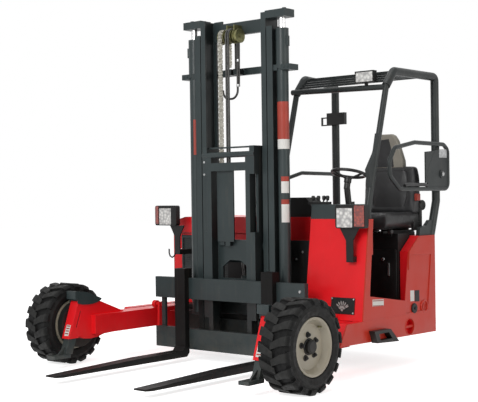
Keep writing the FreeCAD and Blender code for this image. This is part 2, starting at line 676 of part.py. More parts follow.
def body_fittings():
    """Grey bolted-on pieces: vent plate on the front panel and the step below the entry."""
    slope = math.degrees(math.atan2(FRONT_FOOT_X - FRONT_TOP_X, PANEL_TOP_Z - FRONT_FOOT_Z))
    vent = box((0, 5), (776.0, 967.0), (-55, 55))
    dish = rod((3, 868, 8), (6, 868, 8), 52.0)
    ribs = [box((1, 5), (816.0 + 16 * step, 824.0 + 16 * step), (-32, 48)) for step in range(7)]
    disc = rod((1, 868, 8), (5, 868, 8), 52.0)
    vent = vent.cut(dish).fuse(group(ribs).common(disc)).removeSplitter()
    vent.rotate(V(0, 0, 0), Y_AXIS, -slope)
    vent.translate(V(front_x(458.0), 0, 458.0))
    outline = [(-810.0, 294.0), (-1010.0, 292.0), (-1115.0, 198.0), (-845.0, 212.0)]
    step = plate_xz(outline, (BODY_SIDE_Y, BODY_SIDE_Y + 46))
    window = plate_xz([(-866.0, 272.0), (-985.0, 272.0), (-1030.0, 226.0), (-881.0, 226.0)],
                      (BODY_SIDE_Y - 1, BODY_SIDE_Y + 47))
    return group([vent, step.cut(window)])


export("front_panel", front_panel())
export("operator_body", operator_body())
export("dash", dash())
export("console", console())
export("engine_cowl", fuse([engine_cowl()] + hood_hinge_pins()))
export("engine_panel", engine_panel())
export("engine_block", engine_block())
export("engine_hood", engine_hood())
export("body_fittings", body_fittings())

# ---------------------------------------------------------------- steered rear wheel

STEER_TOP_Z = ARCH_TOP_Z - 6.0


def steering_yoke():
    """One-piece fork of the steered wheel: turntable, crown, two cheeks and the axle pin."""
    table = rod((REAR_WHEEL_X, 0, STEER_TOP_Z - 30), (REAR_WHEEL_X, 0, STEER_TOP_Z), 150.0)
    crown = box((REAR_WHEEL_X - 80, REAR_WHEEL_X + 80), (-160, 160), (STEER_TOP_Z - 60, STEER_TOP_Z - 30))
    bore = rod((REAR_WHEEL_X, 0, STEER_TOP_Z - 61), (REAR_WHEEL_X, 0, STEER_TOP_Z + 1), 45.0 + RUNNING_GAP)
    cheeks = [
        side_box(side, (REAR_WHEEL_X - 60, REAR_WHEEL_X + 60), (135, 160),
                 (TYRE_RADIUS - 60, STEER_TOP_Z - 60))
        for _, side in SIDES
    ]
    axle = cross_rod(REAR_WHEEL_X, TYRE_RADIUS, (-160, 160), AXLE_RADIUS)
    return fuse([table, crown] + cheeks).cut(bore).fuse(axle)


export("steering_yoke", steering_yoke())

# ---------------------------------------------------------------- mast

BEAM_Z = (150.0, 330.0)
BEAM_X = (-960.0, -860.0)
CARRIAGE_SIDE_Y = 770.0
TOP_ROLLER_X = -680.0
TOP_ROLLER_RADIUS = 28.0
LOW_ROLLER_X = -930.0
LOW_ROLLER_RADIUS = 22.0
TILT_PIN_RADIUS = 22.0
TILT_CYLINDER_Y = 100.0
TILT_EYE_HALF = 28.0
TILT_BASE_PIN = 14.0
TILT_ROD_RADIUS = 17.0
TILT_BASE = (-930.0, 0.0, 390.0)
TILT_EYE = (-868.0, 0.0, 762.0)


def at_y(point, y):
    """The same place in the X Z plane at another Y."""
    return (point[0], y, point[2])


def along(share):
    """Point on the tilt cylinder's axis in the X Z plane, by its share of the way to the eye."""
    return [TILT_BASE[i] + share * (TILT_EYE[i] - TILT_BASE[i]) for i in range(3)]


def reach_frame():
    """Sliding base of the mast: cross beam, side plates with rollers on the legs, and lugs."""
    parts = [box(BEAM_X, (-CARRIAGE_SIDE_Y, CARRIAGE_SIDE_Y), BEAM_Z)]
    top_z = LEG_TOP_Z + TOP_ROLLER_RADIUS + ROLLER_GAP
    low_z = LEG_BOTTOM_Z - LOW_ROLLER_RADIUS - ROLLER_GAP
    outline = [
        (-975.0, BEAM_Z[0]), (-975.0, BEAM_Z[1]), (-760.0, BEAM_Z[1]), (-712.0, top_z + 20),
        (-648.0, top_z + 20), (-640.0, BEAM_Z[0] + 60), (-700.0, BEAM_Z[0]),
    ]
    lug_y = (OUTER_RAIL_OUTER_Y + 6, OUTER_RAIL_OUTER_Y + 26)
    lug_outline = [
        (BEAM_X[1] - 1, BEAM_Z[0]), (-690.0, BEAM_Z[0] + 50), (-690.0, BEAM_Z[1] - 30),
        (BEAM_X[1] - 1, BEAM_Z[1]),
    ]
    for _, side in SIDES:
        parts.append(plate_xz(outline, (side * (CARRIAGE_SIDE_Y - 20), side * CARRIAGE_SIDE_Y)))
        for x, z, radius in ((TOP_ROLLER_X, top_z, TOP_ROLLER_RADIUS),
                             (LOW_ROLLER_X, low_z, LOW_ROLLER_RADIUS)):
            parts.append(cross_rod(x, z, (side * (CARRIAGE_SIDE_Y - 30), side * (LEG_INNER_Y + 4)), 14.0))
            parts.append(cross_rod(x, z, (side * (LEG_INNER_Y + 4), side * (LEG_INNER_Y + 38)), radius))
        lug_plate = plate_xz(lug_outline, [side * y for y in lug_y])
        hole_y = [side * (lug_y[0] - 10), side * (lug_y[1] + 10)]
        parts.append(lug_plate.cut(cross_rod(TILT_PIVOT_X, TILT_PIVOT_Z, hole_y,
                                             TILT_PIN_RADIUS + RUNNING_GAP)))
        inner_ear = TILT_CYLINDER_Y - TILT_EYE_HALF - 16
        outer_ear = TILT_CYLINDER_Y + TILT_EYE_HALF + 4
        for ear_y in (inner_ear, outer_ear):
            parts.append(side_box(side, (BEAM_X[0], BEAM_X[0] + 60), (ear_y, ear_y + 12),
                                  (BEAM_Z[1], BEAM_Z[1] + 90)))
        pin_y = (side * inner_ear, side * (outer_ear + 10))
        parts.append(rod(at_y(TILT_BASE, pin_y[0]), at_y(TILT_BASE, pin_y[1]), TILT_BASE_PIN))
    return fuse(parts)


def tilt_barrel(side):
    """Tilt cylinder barrel with its base eye."""
    y = side * TILT_CYLINDER_Y
    eye = rod(at_y(TILT_BASE, y - TILT_EYE_HALF), at_y(TILT_BASE, y + TILT_EYE_HALF), 28.0)
    pin_hole = rod(at_y(TILT_BASE, y - 40), at_y(TILT_BASE, y + 40), TILT_BASE_PIN + RUNNING_GAP)
    body = rod(at_y(along(0.05), y), at_y(along(0.62), y), 30.0)
    bore = rod(at_y(along(0.14), y), at_y(along(0.63), y), TILT_ROD_RADIUS + RUNNING_GAP)
    return eye.fuse(body).cut(bore).cut(pin_hole)


def tilt_rod(side):
    """Tilt cylinder rod with its eye on the mast's pin."""
    y = side * TILT_CYLINDER_Y
    bar = rod(at_y(along(0.26), y), at_y(along(0.95), y), TILT_ROD_RADIUS)
    eye = rod(at_y(TILT_EYE, y - 17), at_y(TILT_EYE, y + 17), 26.0)
    return bar.fuse(eye).cut(rod(at_y(TILT_EYE, y - 18), at_y(TILT_EYE, y + 18), 16.0))


def channel(side, inner_y, outer_y, z_range):
    """Upright channel rail, open towards the middle of the mast."""
    solid = side_box(side, (RAIL_REAR_X, MAST_FRONT_X), (inner_y, outer_y), z_range)
    hollow = side_box(
        side, (RAIL_REAR_X + FLANGE, MAST_FRONT_X - FLANGE), (inner_y - 1, outer_y - FLANGE + 2),
        (z_range[0] - 1, z_range[1] + 1))
    return solid.cut(hollow)


BARREL_RADIUS = 41.0
BARREL_BORE = 27.0
BARREL_FOOT_Z = 350.0
HEAD_RADIUS = 46.0
HEAD_Z = (2090.0, 2370.0)
MID_BAR_Z = (2086.0, 2136.0)
CHAIN_Y = -104.0
CHAIN_WIDTH = 44.0
CHAIN_THICK = 13.0
SHEAVE_X = -703.0
SHEAVE_DROP = 135.0
SHEAVE_Z = INNER_TOP_Z - SHEAVE_DROP
SHEAVE_RADIUS = 52.0
GROOVE_RADIUS = 45.0
CHAIN_RADIUS = GROOVE_RADIUS + CHAIN_THICK / 2
REAR_RUN_X = SHEAVE_X - CHAIN_RADIUS
FRONT_RUN_X = SHEAVE_X + CHAIN_RADIUS
HOSE_RADIUS = 8.0
HOSE_YS = (-47.0, -26.0)
HOSE_SHEAVE_Y = sum(HOSE_YS) / 2
THIRD_SHEAVE_Y = 26.0


def outer_mast():
    """Fixed mast stage: two channels, cross members behind them, cylinder feet and chain block."""
    parts = []
    for _, side in SIDES:
        parts.append(channel(side, OUTER_RAIL_INNER_Y, OUTER_RAIL_OUTER_Y, (OUTER_BOTTOM_Z, OUTER_TOP_Z)))
        foot_y = (OUTER_RAIL_OUTER_Y - 1, LIFT_CYLINDER_Y + 36)
        parts.append(side_box(side, (RAIL_REAR_X + 20, MAST_FRONT_X - 20), foot_y,
                              (BARREL_FOOT_Z - 20, BARREL_FOOT_Z)))
        clamp = side_box(side, (RAIL_REAR_X + 30, MAST_FRONT_X - 8), (OUTER_RAIL_OUTER_Y - 1, 507),
                         (2076, 2116))
        barrel_y = side * LIFT_CYLINDER_Y
        parts.append(clamp.cut(rod((LIFT_CYLINDER_X, barrel_y, 2000), (LIFT_CYLINDER_X, barrel_y, 2200),
                                   HEAD_RADIUS)))
        for y in (TILT_CYLINDER_Y - 24, TILT_CYLINDER_Y + 24):
            parts.append(side_box(side, (RAIL_REAR_X - 85, RAIL_REAR_X - 29), (y - 6, y + 6), (725, 800)))
        pin_y = (side * (TILT_CYLINDER_Y - 29), side * (TILT_CYLINDER_Y + 29))
        parts.append(rod(at_y(TILT_EYE, pin_y[0]), at_y(TILT_EYE, pin_y[1]), 12.0))
        pivot_y = (side * (OUTER_RAIL_OUTER_Y - 2), side * (OUTER_RAIL_OUTER_Y + 34))
        parts.append(cross_rod(TILT_PIVOT_X, TILT_PIVOT_Z, pivot_y, TILT_PIN_RADIUS))
    for z_range in ((340, 460), (720, 810), MID_BAR_Z):
        parts.append(box((RAIL_REAR_X - 30, RAIL_REAR_X), (-OUTER_RAIL_OUTER_Y, OUTER_RAIL_OUTER_Y),
                         z_range))
    block_z = (MID_BAR_Z[0], MID_BAR_Z[1] - 6)
    half = CHAIN_WIDTH / 2
    parts.append(box((RAIL_REAR_X, REAR_RUN_X + 14), (CHAIN_Y - half, CHAIN_Y + half), block_z))
    parts.append(box((RAIL_REAR_X, REAR_RUN_X + 14), (HOSE_YS[0] - 12, HOSE_YS[1] + 12), block_z))
    return fuse(parts)


def lift_barrel(side):
    """Lift cylinder barrel beside the mast, with its thicker head and the hose fitting."""
    x, y = LIFT_CYLINDER_X, side * LIFT_CYLINDER_Y
    top = HEAD_Z[1]
    barrel = pipe((x, y, BARREL_FOOT_Z), (x, y, top), BARREL_RADIUS, BARREL_BORE)
    plug = rod((x, y, BARREL_FOOT_Z), (x, y, BARREL_FOOT_Z + 30), BARREL_BORE)
    head = pipe((x, y, HEAD_Z[0]), (x, y, top), HEAD_RADIUS - RUNNING_GAP, BARREL_BORE)
    fitting = side_box(side, (x - 8, x + 18), (LIFT_CYLINDER_Y + 38, LIFT_CYLINDER_Y + 58), (2242, 2313))
    elbow = side_box(side, (x - 12, x + 12), (LIFT_CYLINDER_Y + 36, LIFT_CYLINDER_Y + 52), (420, 452))
    return fuse([barrel, plug, head, fitting, elbow])


ROD_PLATE_Z = (2446.0, 2500.0)


def lift_rod(side):
    """Lift cylinder rod, joined to the moving stage at its top."""
    x, y = LIFT_CYLINDER_X, side * LIFT_CYLINDER_Y
    return rod((x, y, 450), (x, y, ROD_PLATE_Z[0]), 25.0)


TOP_BAR_FRONT_X = RAIL_REAR_X + 35
TOP_BAR_Z = (INNER_TOP_Z - 115, INNER_TOP_Z - 22)


def inner_mast():
    """Moving mast stage: two channels, top and bottom cross members and rod plates."""
    parts = []
    for _, side in SIDES:
        parts.append(channel(side, INNER_RAIL_INNER_Y, INNER_RAIL_OUTER_Y, (INNER_BOTTOM_Z, INNER_TOP_Z)))
        for z in (260.0, 620.0):
            roller_y = (side * (INNER_RAIL_OUTER_Y - 2), side * (OUTER_RAIL_OUTER_Y - FLANGE))
            parts.append(cross_rod(RAIL_MID_X, z, roller_y, ROLLER_RADIUS))
        parts.append(side_box(side, (RAIL_REAR_X + 30, MAST_FRONT_X), (INNER_RAIL_OUTER_Y - 4, 478),
                              ROD_PLATE_Z))
        nub_y = side * (LIFT_CYLINDER_Y + 20)
        parts.append(rod((LIFT_CYLINDER_X, nub_y, ROD_PLATE_Z[1] - 1), (LIFT_CYLINDER_X, nub_y, 2513), 14.0))
    half = INNER_RAIL_INNER_Y + 4
    parts.append(box((RAIL_REAR_X, RAIL_REAR_X + 15), (-half, half), TOP_BAR_Z))
    parts.append(box((RAIL_REAR_X, TOP_BAR_FRONT_X), (-210, 210), TOP_BAR_Z))
    parts.append(box((RAIL_REAR_X, RAIL_REAR_X + 15), (-half, half), (200, 300)))
    parts.append(box((RAIL_REAR_X + 15, RAIL_REAR_X + 30), (-half, -190), (2339, INNER_TOP_Z)))
    return fuse(parts)


def sheave(y, width):
    """Grooved wheel with a flange at each edge."""
    half = width / 2
    profile = [
        (0.0, -half), (SHEAVE_RADIUS, -half), (SHEAVE_RADIUS, 5 - half), (GROOVE_RADIUS, 5 - half),
        (GROOVE_RADIUS, half - 5), (SHEAVE_RADIUS, half - 5), (SHEAVE_RADIUS, half), (0.0, half),
    ]
    return revolve_y(profile, (SHEAVE_X, y, SHEAVE_Z))


def chain_sheaves():
    """Sheaves hung from the moving stage's top cross member, for the chain and the hoses."""
    parts = [
        cross_rod(SHEAVE_X, SHEAVE_Z, (-136, 48), 14.0),
        sheave(CHAIN_Y, CHAIN_WIDTH + 12),
        sheave(HOSE_SHEAVE_Y, 50.0),
        sheave(THIRD_SHEAVE_Y, 36.0),
    ]
    for y in (-69.0, -2.0):
        parts.append(box((TOP_BAR_FRONT_X, SHEAVE_X + 16), (y - 4, y + 4), (SHEAVE_Z - 20, TOP_BAR_Z[1] - 30)))
    return fuse(parts)


CHAIN_ANCHOR_Z = 893.0
CHAIN_PITCH = 50.0
HOSE_END_Z = 890.0
ANCHOR_HEIGHT = 40.0
CENTRE_PLATE_Y = (-132.0, 24.0)


def chain_run(x, z_range):
    """Straight run of leaf chain: broad links with narrower ones between them."""
    low, high = z_range
    half = CHAIN_WIDTH / 2
    thin = CHAIN_THICK / 2 - 3
    parts = [box((x - thin, x + thin), (CHAIN_Y - half + 7, CHAIN_Y + half - 7), (low, high))]
    for step in range(int((high - low) / CHAIN_PITCH)):
        z = high - CHAIN_PITCH * (step + 1)
        parts.append(box((x - CHAIN_THICK / 2, x + CHAIN_THICK / 2), (CHAIN_Y - half, CHAIN_Y + half),
                         (z, z + 36)))
    return fuse(parts)


def lift_chain():
    """Lifting chain: up from the fixed stage, over its sheave and down to the carriage."""
    half = CHAIN_WIDTH / 2
    ring = pipe((SHEAVE_X, CHAIN_Y - half, SHEAVE_Z), (SHEAVE_X, CHAIN_Y + half, SHEAVE_Z),
                GROOVE_RADIUS + CHAIN_THICK, GROOVE_RADIUS + RUNNING_GAP)
    upper = box((SHEAVE_X - 100, SHEAVE_X + 100), (CHAIN_Y - 60, CHAIN_Y + 60), (SHEAVE_Z, SHEAVE_Z + 100))
    front = chain_run(FRONT_RUN_X, (CHAIN_ANCHOR_Z, SHEAVE_Z + 1))
    rear = chain_run(REAR_RUN_X, (MID_BAR_Z[1] - 6, SHEAVE_Z + 1))
    groove = cross_rod(SHEAVE_X, SHEAVE_Z, (CHAIN_Y - 60, CHAIN_Y + 60), GROOVE_RADIUS + RUNNING_GAP)
    return fuse([ring.common(upper), front, rear]).cut(groove)


def mast_hoses():
    """Pair of hoses over the middle sheave down to the carriage, and the hanging third hose."""
    bend = CHAIN_RADIUS + 1.6
    rear_x, front_x_run = SHEAVE_X - bend - 0.1, SHEAVE_X + bend + 0.1
    top = SHEAVE_Z + bend
    parts = []
    for y in HOSE_YS:
        path = [(rear_x, y, MID_BAR_Z[1] - 6), (rear_x, y, top), (front_x_run, y, top),
                (front_x_run, y, HOSE_END_Z)]
        parts.append(bent_tube(path, HOSE_RADIUS, bend))
    x = -698.0
    loop = [(x, 18.0, SHEAVE_Z - SHEAVE_RADIUS), (x, 18.0, 1908.0), (x, -121.0, 1908.0), (x, -121.0, 1975.0)]
    parts.append(bent_tube(loop, HOSE_RADIUS, 60.0))
    for z in (2000.0, 2180.0):
        parts.append(pipe((x, 18.0, z - 9), (x, 18.0, z + 9), HOSE_RADIUS + 5, HOSE_RADIUS))
    parts[2:] = [fuse(parts[2:])]
    return group(parts)


export("reach_frame", reach_frame())
export("tilt_barrels", group(tilt_barrel(side) for _, side in SIDES))
export("tilt_rods", group(tilt_rod(side) for _, side in SIDES))
export("outer_mast", outer_mast())
export("inner_mast", inner_mast())
export("lift_barrels", group(lift_barrel(side) for _, side in SIDES))
export("lift_rods", group(lift_rod(side) for _, side in SIDES))
export("chain_sheaves", chain_sheaves())
export("lift_chain", lift_chain())
export("mast_hoses", mast_hoses())

# ---------------------------------------------------------------- fork carriage

BAR_REAR_X = CARRIAGE_FRONT_X - BAR_THICKNESS
UPRIGHT_DEPTH = 68.0
UPRIGHT_REAR_X = BAR_REAR_X - UPRIGHT_DEPTH
CROSS_PLATE_Z = (600.0, 893.0)
SIDE_PLATE_Y = (222.0, 243.0)
SIDE_PLATE_Z = (330.0, 1560.0)


def cross_plate():
    """Plate across the carriage's uprights with its arched opening and sloping shoulders."""
    edge = SIDE_PLATE_Y[0] + 2
    low, high = CROSS_PLATE_Z
    outline = [
        (-edge, low), (-edge, high - 40), (-edge + 40, high), (edge - 40, high), (edge, high - 40),
        (edge, low),
    ]
    arch = [(-115.0, 616.0), (-115.0, 700.0), (-50.0, 745.0), (50.0, 745.0), (115.0, 700.0), (115.0, 616.0)]
    x_range = (UPRIGHT_REAR_X - 15, UPRIGHT_REAR_X + 1)
    return plate_yz(outline, x_range).cut(plate_yz(arch, (x_range[0] - 1, x_range[1] + 1)))


def fork_carriage():
    """Tall carriage frame: fork bars, uprights, top bars, side plates with rollers, cross plate."""
    bar_x = (BAR_REAR_X, CARRIAGE_FRONT_X)
    side_x = (RAIL_REAR_X + 61, BAR_REAR_X - 43)
    half = SIDE_PLATE_Y[1]
    chain_y = (CHAIN_Y - CHAIN_WIDTH / 2 - 4, CHAIN_Y + CHAIN_WIDTH / 2 + 4)
    parts = [
        box(bar_x, (-BAR_HALF_WIDTH, BAR_HALF_WIDTH), UPPER_BAR_Z),
        box(bar_x, (-BAR_HALF_WIDTH, BAR_HALF_WIDTH), LOWER_BAR_Z),
        box((BAR_REAR_X - 40, BAR_REAR_X), (-half, half), (1387, 1446)),
        cross_rod(BAR_REAR_X - 14, 1502.0, (-half, half), 21.0),
        box((BAR_REAR_X - 38, BAR_REAR_X - 30), (-half, half), (SIDE_PLATE_Z[1] - 12, SIDE_PLATE_Z[1])),
        box((BAR_REAR_X - 40, BAR_REAR_X - 30), CENTRE_PLATE_Y, (HOSE_END_Z - 10, 1400)),
        cross_plate(),
        box((UPRIGHT_REAR_X, FRONT_RUN_X + 12), chain_y, (CHAIN_ANCHOR_Z - ANCHOR_HEIGHT, CHAIN_ANCHOR_Z)),
        box((UPRIGHT_REAR_X, BAR_REAR_X - 31), (HOSE_YS[0] - 12, HOSE_YS[1] + 12),
            (HOSE_END_Z - ANCHOR_HEIGHT, HOSE_END_Z)),
    ]
    upright_y = (UPRIGHT_Y - UPRIGHT_HALF, UPRIGHT_Y + UPRIGHT_HALF)
    for _, side in SIDES:
        parts.append(side_box(side, (UPRIGHT_REAR_X, BAR_REAR_X), upright_y,
                              (LOWER_BAR_Z[0], UPRIGHT_TOP_Z)))
        parts.append(side_box(side, side_x, SIDE_PLATE_Y, SIDE_PLATE_Z))
        for z_range in ((330, 950), (1360, 1560)):
            parts.append(side_box(side, (BAR_REAR_X - 44, BAR_REAR_X), (UPRIGHT_Y + 19, SIDE_PLATE_Y[1]),
                                  z_range))
        post_y = (BAR_HALF_WIDTH - 60, BAR_HALF_WIDTH - 24)
        post_z = (LOWER_BAR_Z[1] - 40, UPPER_BAR_Z[0] + 40)
        parts.append(side_box(side, (BAR_REAR_X - 22, BAR_REAR_X), post_y, post_z))
        for z in (400.0, 850.0):
            roller_y = (side * (SIDE_PLATE_Y[1] - 1), side * 282)
            parts.append(cross_rod(RAIL_MID_X, z, roller_y, ROLLER_RADIUS))
    return fuse(parts)


def fork(side):
    """Fork: shank with its hook on the upper bar, heel, and blade tapering to the tip."""
    face = CARRIAGE_FRONT_X
    top = FORK_BOTTOM_Z + FORK_THICKNESS
    outline = [
        (face, FORK_BOTTOM_Z + 30), (face + 26, FORK_BOTTOM_Z), (FORK_TIP_X - 60, FORK_BOTTOM_Z + 6),
        (FORK_TIP_X, FORK_BOTTOM_Z + 12), (FORK_TIP_X, FORK_BOTTOM_Z + 22),
        (face + 500, top), (face + FORK_THICKNESS + 30, top),
        (face + FORK_THICKNESS, top + 30), (face + FORK_THICKNESS, FORK_TOP_Z),
        (face - 34, FORK_TOP_Z), (face - 34, UPPER_BAR_Z[1]), (face, UPPER_BAR_Z[1]),
    ]
    y = side * FORK_Y
    return plate_xz(outline, (y - FORK_WIDTH / 2, y + FORK_WIDTH / 2))


export("fork_carriage", fork_carriage())
for side_name, side in SIDES:
    export(side_name + "_fork", fork(side))

# ---------------------------------------------------------------- overhead guard

ROOF_Z = GUARD_TOP_Z - GUARD_TUBE
BRACKET_X = (-1800.0, -1712.0)
BRACKET_Z = (1300.0, 1392.0)
RESTRAINT_PIN = 11.0
NEAR_LEG = ((-868.0, PANEL_TOP_Z), (-868.0, 1130.0), (-1115.0, 1965.0))
ROOF_BEND = 33.0
FAR_LEG = ((-901.0, COLUMN_TOP_Z - 15), (-1142.0, 1957.0))


def roof_inner_y(x):
    """Y of the roof's inner tube, which leans in towards the rear."""
    share = (x - GUARD_FRONT_X) / (GUARD_REAR_X - GUARD_FRONT_X)
    return GUARD_INNER_Y + share * (GUARD_INNER_REAR_Y - GUARD_INNER_Y)


def roof_slats():
    """Flat bars across the roof's front slope and its top."""
    places = [(-1148.0 - 17 * step, 1991.0 + 18 * step) for step in range(4)]
    spread = (GUARD_FRONT_X - GUARD_REAR_X - 90) / 6
    places += [(GUARD_FRONT_X - 45 - spread * step, ROOF_Z + 2) for step in range(7)]
    return [box((x - 9, x + 9), (roof_inner_y(x) + 8, GUARD_OUTER_Y - 8), (z - 7, z + 7)) for x, z in places]


def overhead_guard():
    """Bent tube frame over the seat with roof bars, foot gussets and the inner side rail."""
    near, far = GUARD_OUTER_Y, GUARD_INNER_Y
    near_roof = [
        (-1108.0, near, 1952.0), (GUARD_FRONT_X, near, ROOF_Z), (GUARD_REAR_X, near, ROOF_Z),
        (GUARD_REAR_X, near, 1150.0), (-1665.0, near, DECK_Z - 50),
    ]
    far_rear = GUARD_INNER_REAR_Y
    far_roof = [
        (-1136.0, far + 4, 1948.0), (GUARD_FRONT_X, far + 28, ROOF_Z), (GUARD_REAR_X, far_rear, ROOF_Z),
        (GUARD_REAR_X, far_rear, 790.0),
    ]
    under_deck = box((-1800, -1500), (near - 50, near + 50), (DECK_Z - 90, DECK_Z))
    parts = [bent_tube(near_roof, GUARD_TUBE, ROOF_BEND).cut(under_deck),
             bent_tube(far_roof, GUARD_TUBE, ROOF_BEND)]
    leg_points = [(x, near, z) for x, z in NEAR_LEG]
    parts.append(bent_tube(leg_points, GUARD_LEG_TUBE, 60.0))
    far_leg = rod((FAR_LEG[0][0], far, FAR_LEG[0][1]), (FAR_LEG[1][0], far + 2, FAR_LEG[1][1]),
                  GUARD_LEG_TUBE)
    in_column = box((-1000, -850), (far - 50, far + 50), (COLUMN_TOP_Z - 50, COLUMN_TOP_Z))
    parts.append(far_leg.cut(in_column))
    parts.append(rod((-1117.0, far - 20, 1962.0), (-1106.0, near - 8, 1945.0), 20.0))
    parts += roof_slats()
    rail = [
        (-978.0, far, 1322.0), (-1193.0, far, 1371.0), (-1560.0, far, 1366.0),
        (GUARD_REAR_X, far_rear, 1360.0),
    ]
    parts.append(bent_tube(rail, 14.0, 60.0))
    flare = [
        (-985.0, 1620.0), (-952.0, 1494.0), (-858.0, 1372.0), (-889.0, 1230.0), (-858.0, 1138.0),
        (-893.0, 1138.0), (-921.0, 1243.0), (-963.0, 1393.0), (-1010.0, 1620.0),
    ]
    parts.append(plate_xz(flare, (near - 15, near + 15)))
    foot = [
        (-1500.0, DECK_Z), (-1510.0, 960.0), (-1600.0, 975.0), (-1650.0, 1013.0), (-1705.0, 1013.0),
        (-1672.0, DECK_Z),
    ]
    parts.append(plate_xz(foot, (near - 15, near + 15)))
    for z in (760.0, 960.0):
        parts.append(box((GUARD_REAR_X + 10, BODY_REAR_X), (far_rear - 22, far_rear + 22), (z, z + 44)))
    parts.append(box(BRACKET_X, (near - 5, near + 37), BRACKET_Z))
    parts.append(cross_rod(RESTRAINT_PIVOT_X, RESTRAINT_PIVOT_Z, (near + 30, RESTRAINT_Y + 18),
                           RESTRAINT_PIN))
    return fuse(parts)


def restraint_arm():
    """Swing-up restraint loop beside the seat, with the plate that carries its pivot."""
    y = RESTRAINT_Y
    rear_x = RESTRAINT_REAR_X + RESTRAINT_TUBE
    start = (-1500.0, y, 1239.0)
    path = [
        start, (-1170.0, y, 1239.0), (-1046.0, y, 1330.0), (-1040.0, y, 1430.0), (-1109.0, y, 1523.0),
        (-1371.0, y, 1567.0), (-1772.0, y, 1563.0), (rear_x, y, 1526.0), (rear_x, y, 1239.0), start,
    ]
    web = plate_xz(
        [(-1540.0, 1240.0), (-1540.0, 1380.0), (-1640.0, 1520.0), (rear_x + 5, 1520.0),
         (rear_x + 5, 1240.0)],
        (y - 6, y + 6))
    boss = cross_rod(RESTRAINT_PIVOT_X, RESTRAINT_PIVOT_Z, (y - 10, y + 12), 30.0)
    pin_hole = cross_rod(RESTRAINT_PIVOT_X, RESTRAINT_PIVOT_Z, (y - 30, y + 30), RESTRAINT_PIN + RUNNING_GAP)
    return fuse([bent_tube(path, RESTRAINT_TUBE, 50.0), web, boss]).cut(pin_hole)


export("overhead_guard", overhead_guard())
export("restraint_arm", restraint_arm())

# ---------------------------------------------------------------- seat and controls

SEAT_FRONT_X = -1170.0
SEAT_REAR_X = -1648.0
SEAT_HALF = 232.0
CUSHION_Z = (945.0, 1075.0)
BACK_TOP_Z = 1415.0
SEAT_PAN_Z = 930.0


def seat_base():
    """Seat box in the module, and the pan and slides that carry the cushion."""
    parts = [
        box((ENTRY_REAR_X - 4, BODY_REAR_X + SHEET), (470.0, 962.0), (FRONT_FOOT_Z + SHEET, SEAT_BOX_Z)),
        box((ENTRY_REAR_X - 4, ENTRY_REAR_X - 156), (470.0, 962.0), (SEAT_BOX_Z, SEAT_PAN_Z - 5)),
        box((-1300.0, SEAT_REAR_X + 30), (SEAT_Y - 180, SEAT_Y + 180), (DECK_Z, SEAT_PAN_Z)),
    ]
    for y in (SEAT_Y - 150, SEAT_Y + 150):
        parts.append(box((-1230.0, SEAT_REAR_X + 10), (y - 12, y + 12), (SEAT_PAN_Z - 1, CUSHION_Z[0])))
    return fuse(parts)


def seat_cushion():
    """Seat cushion with rounded edges."""
    solid = box((SEAT_FRONT_X, SEAT_REAR_X), (SEAT_Y - SEAT_HALF, SEAT_Y + SEAT_HALF), CUSHION_Z)
    return solid.makeFillet(35.0, solid.Edges)


def seat_back():
    """Backrest, leaning slightly to the rear, with a rounded top."""
    low, top = CUSHION_Z[1], BACK_TOP_Z
    outline = [(SEAT_REAR_X + 115, low), (SEAT_REAR_X + 85, top), (SEAT_REAR_X, top), (SEAT_REAR_X, low)]
    solid = plate_xz(outline, (SEAT_Y - SEAT_HALF - 3, SEAT_Y + SEAT_HALF + 3))
    upper = [edge for edge in solid.Edges if abs(edge.CenterOfMass.y - SEAT_Y) > 200
             and edge.CenterOfMass.z > top - 1]
    crown = solid.makeFillet(70.0, upper)
    return crown.makeFillet(24.0, [edge for edge in crown.Edges if edge.Length > 30])


def seat_shell():
    """Moulded extension above the backrest and the panel behind it."""
    low, top = BACK_TOP_Z, 1648.0
    outline = [(-140.0, low), (-140.0, 1450.0), (-88.0, 1600.0), (-46.0, top), (46.0, top), (88.0, 1600.0),
               (140.0, 1450.0), (140.0, low)]
    crown = plate_yz([(SEAT_Y + y, z) for y, z in outline], (SEAT_REAR_X + 62, SEAT_REAR_X + 12))
    panel = box((SEAT_REAR_X, SEAT_REAR_X - 12), (SEAT_Y - 150, SEAT_Y + 150), (DECK_Z, 1520.0))
    bridge = box((SEAT_REAR_X + 13, SEAT_REAR_X - 1), (SEAT_Y - 120, SEAT_Y + 120), (low, 1520.0))
    return fuse([crown, panel, bridge])


WHEEL_TILT = 14.0
WHEEL_RADIUS = 117.0
SHAFT_RADIUS = 10.0


def wheel_axis(distance):
    """Point on the steering wheel's axis, measured up from the middle of its rim."""
    x, y, z = STEERING_WHEEL
    tilt = math.radians(WHEEL_TILT)
    return (x - distance * math.sin(tilt), y, z + distance * math.cos(tilt))


def steering_column():
    """Column from the console up to the steering wheel."""
    x, y, _ = STEERING_WHEEL
    foot = rod((x, y, CONSOLE_TOP_Z), (x, y, CONSOLE_TOP_Z + 40), 32.0)
    tube = rod((x, y, CONSOLE_TOP_Z + 20), wheel_axis(-100), 22.0)
    neck = rod(wheel_axis(-112), wheel_axis(-70), 22.0)
    return fuse([foot, tube, neck, rod(wheel_axis(-80), wheel_axis(-40), SHAFT_RADIUS)])


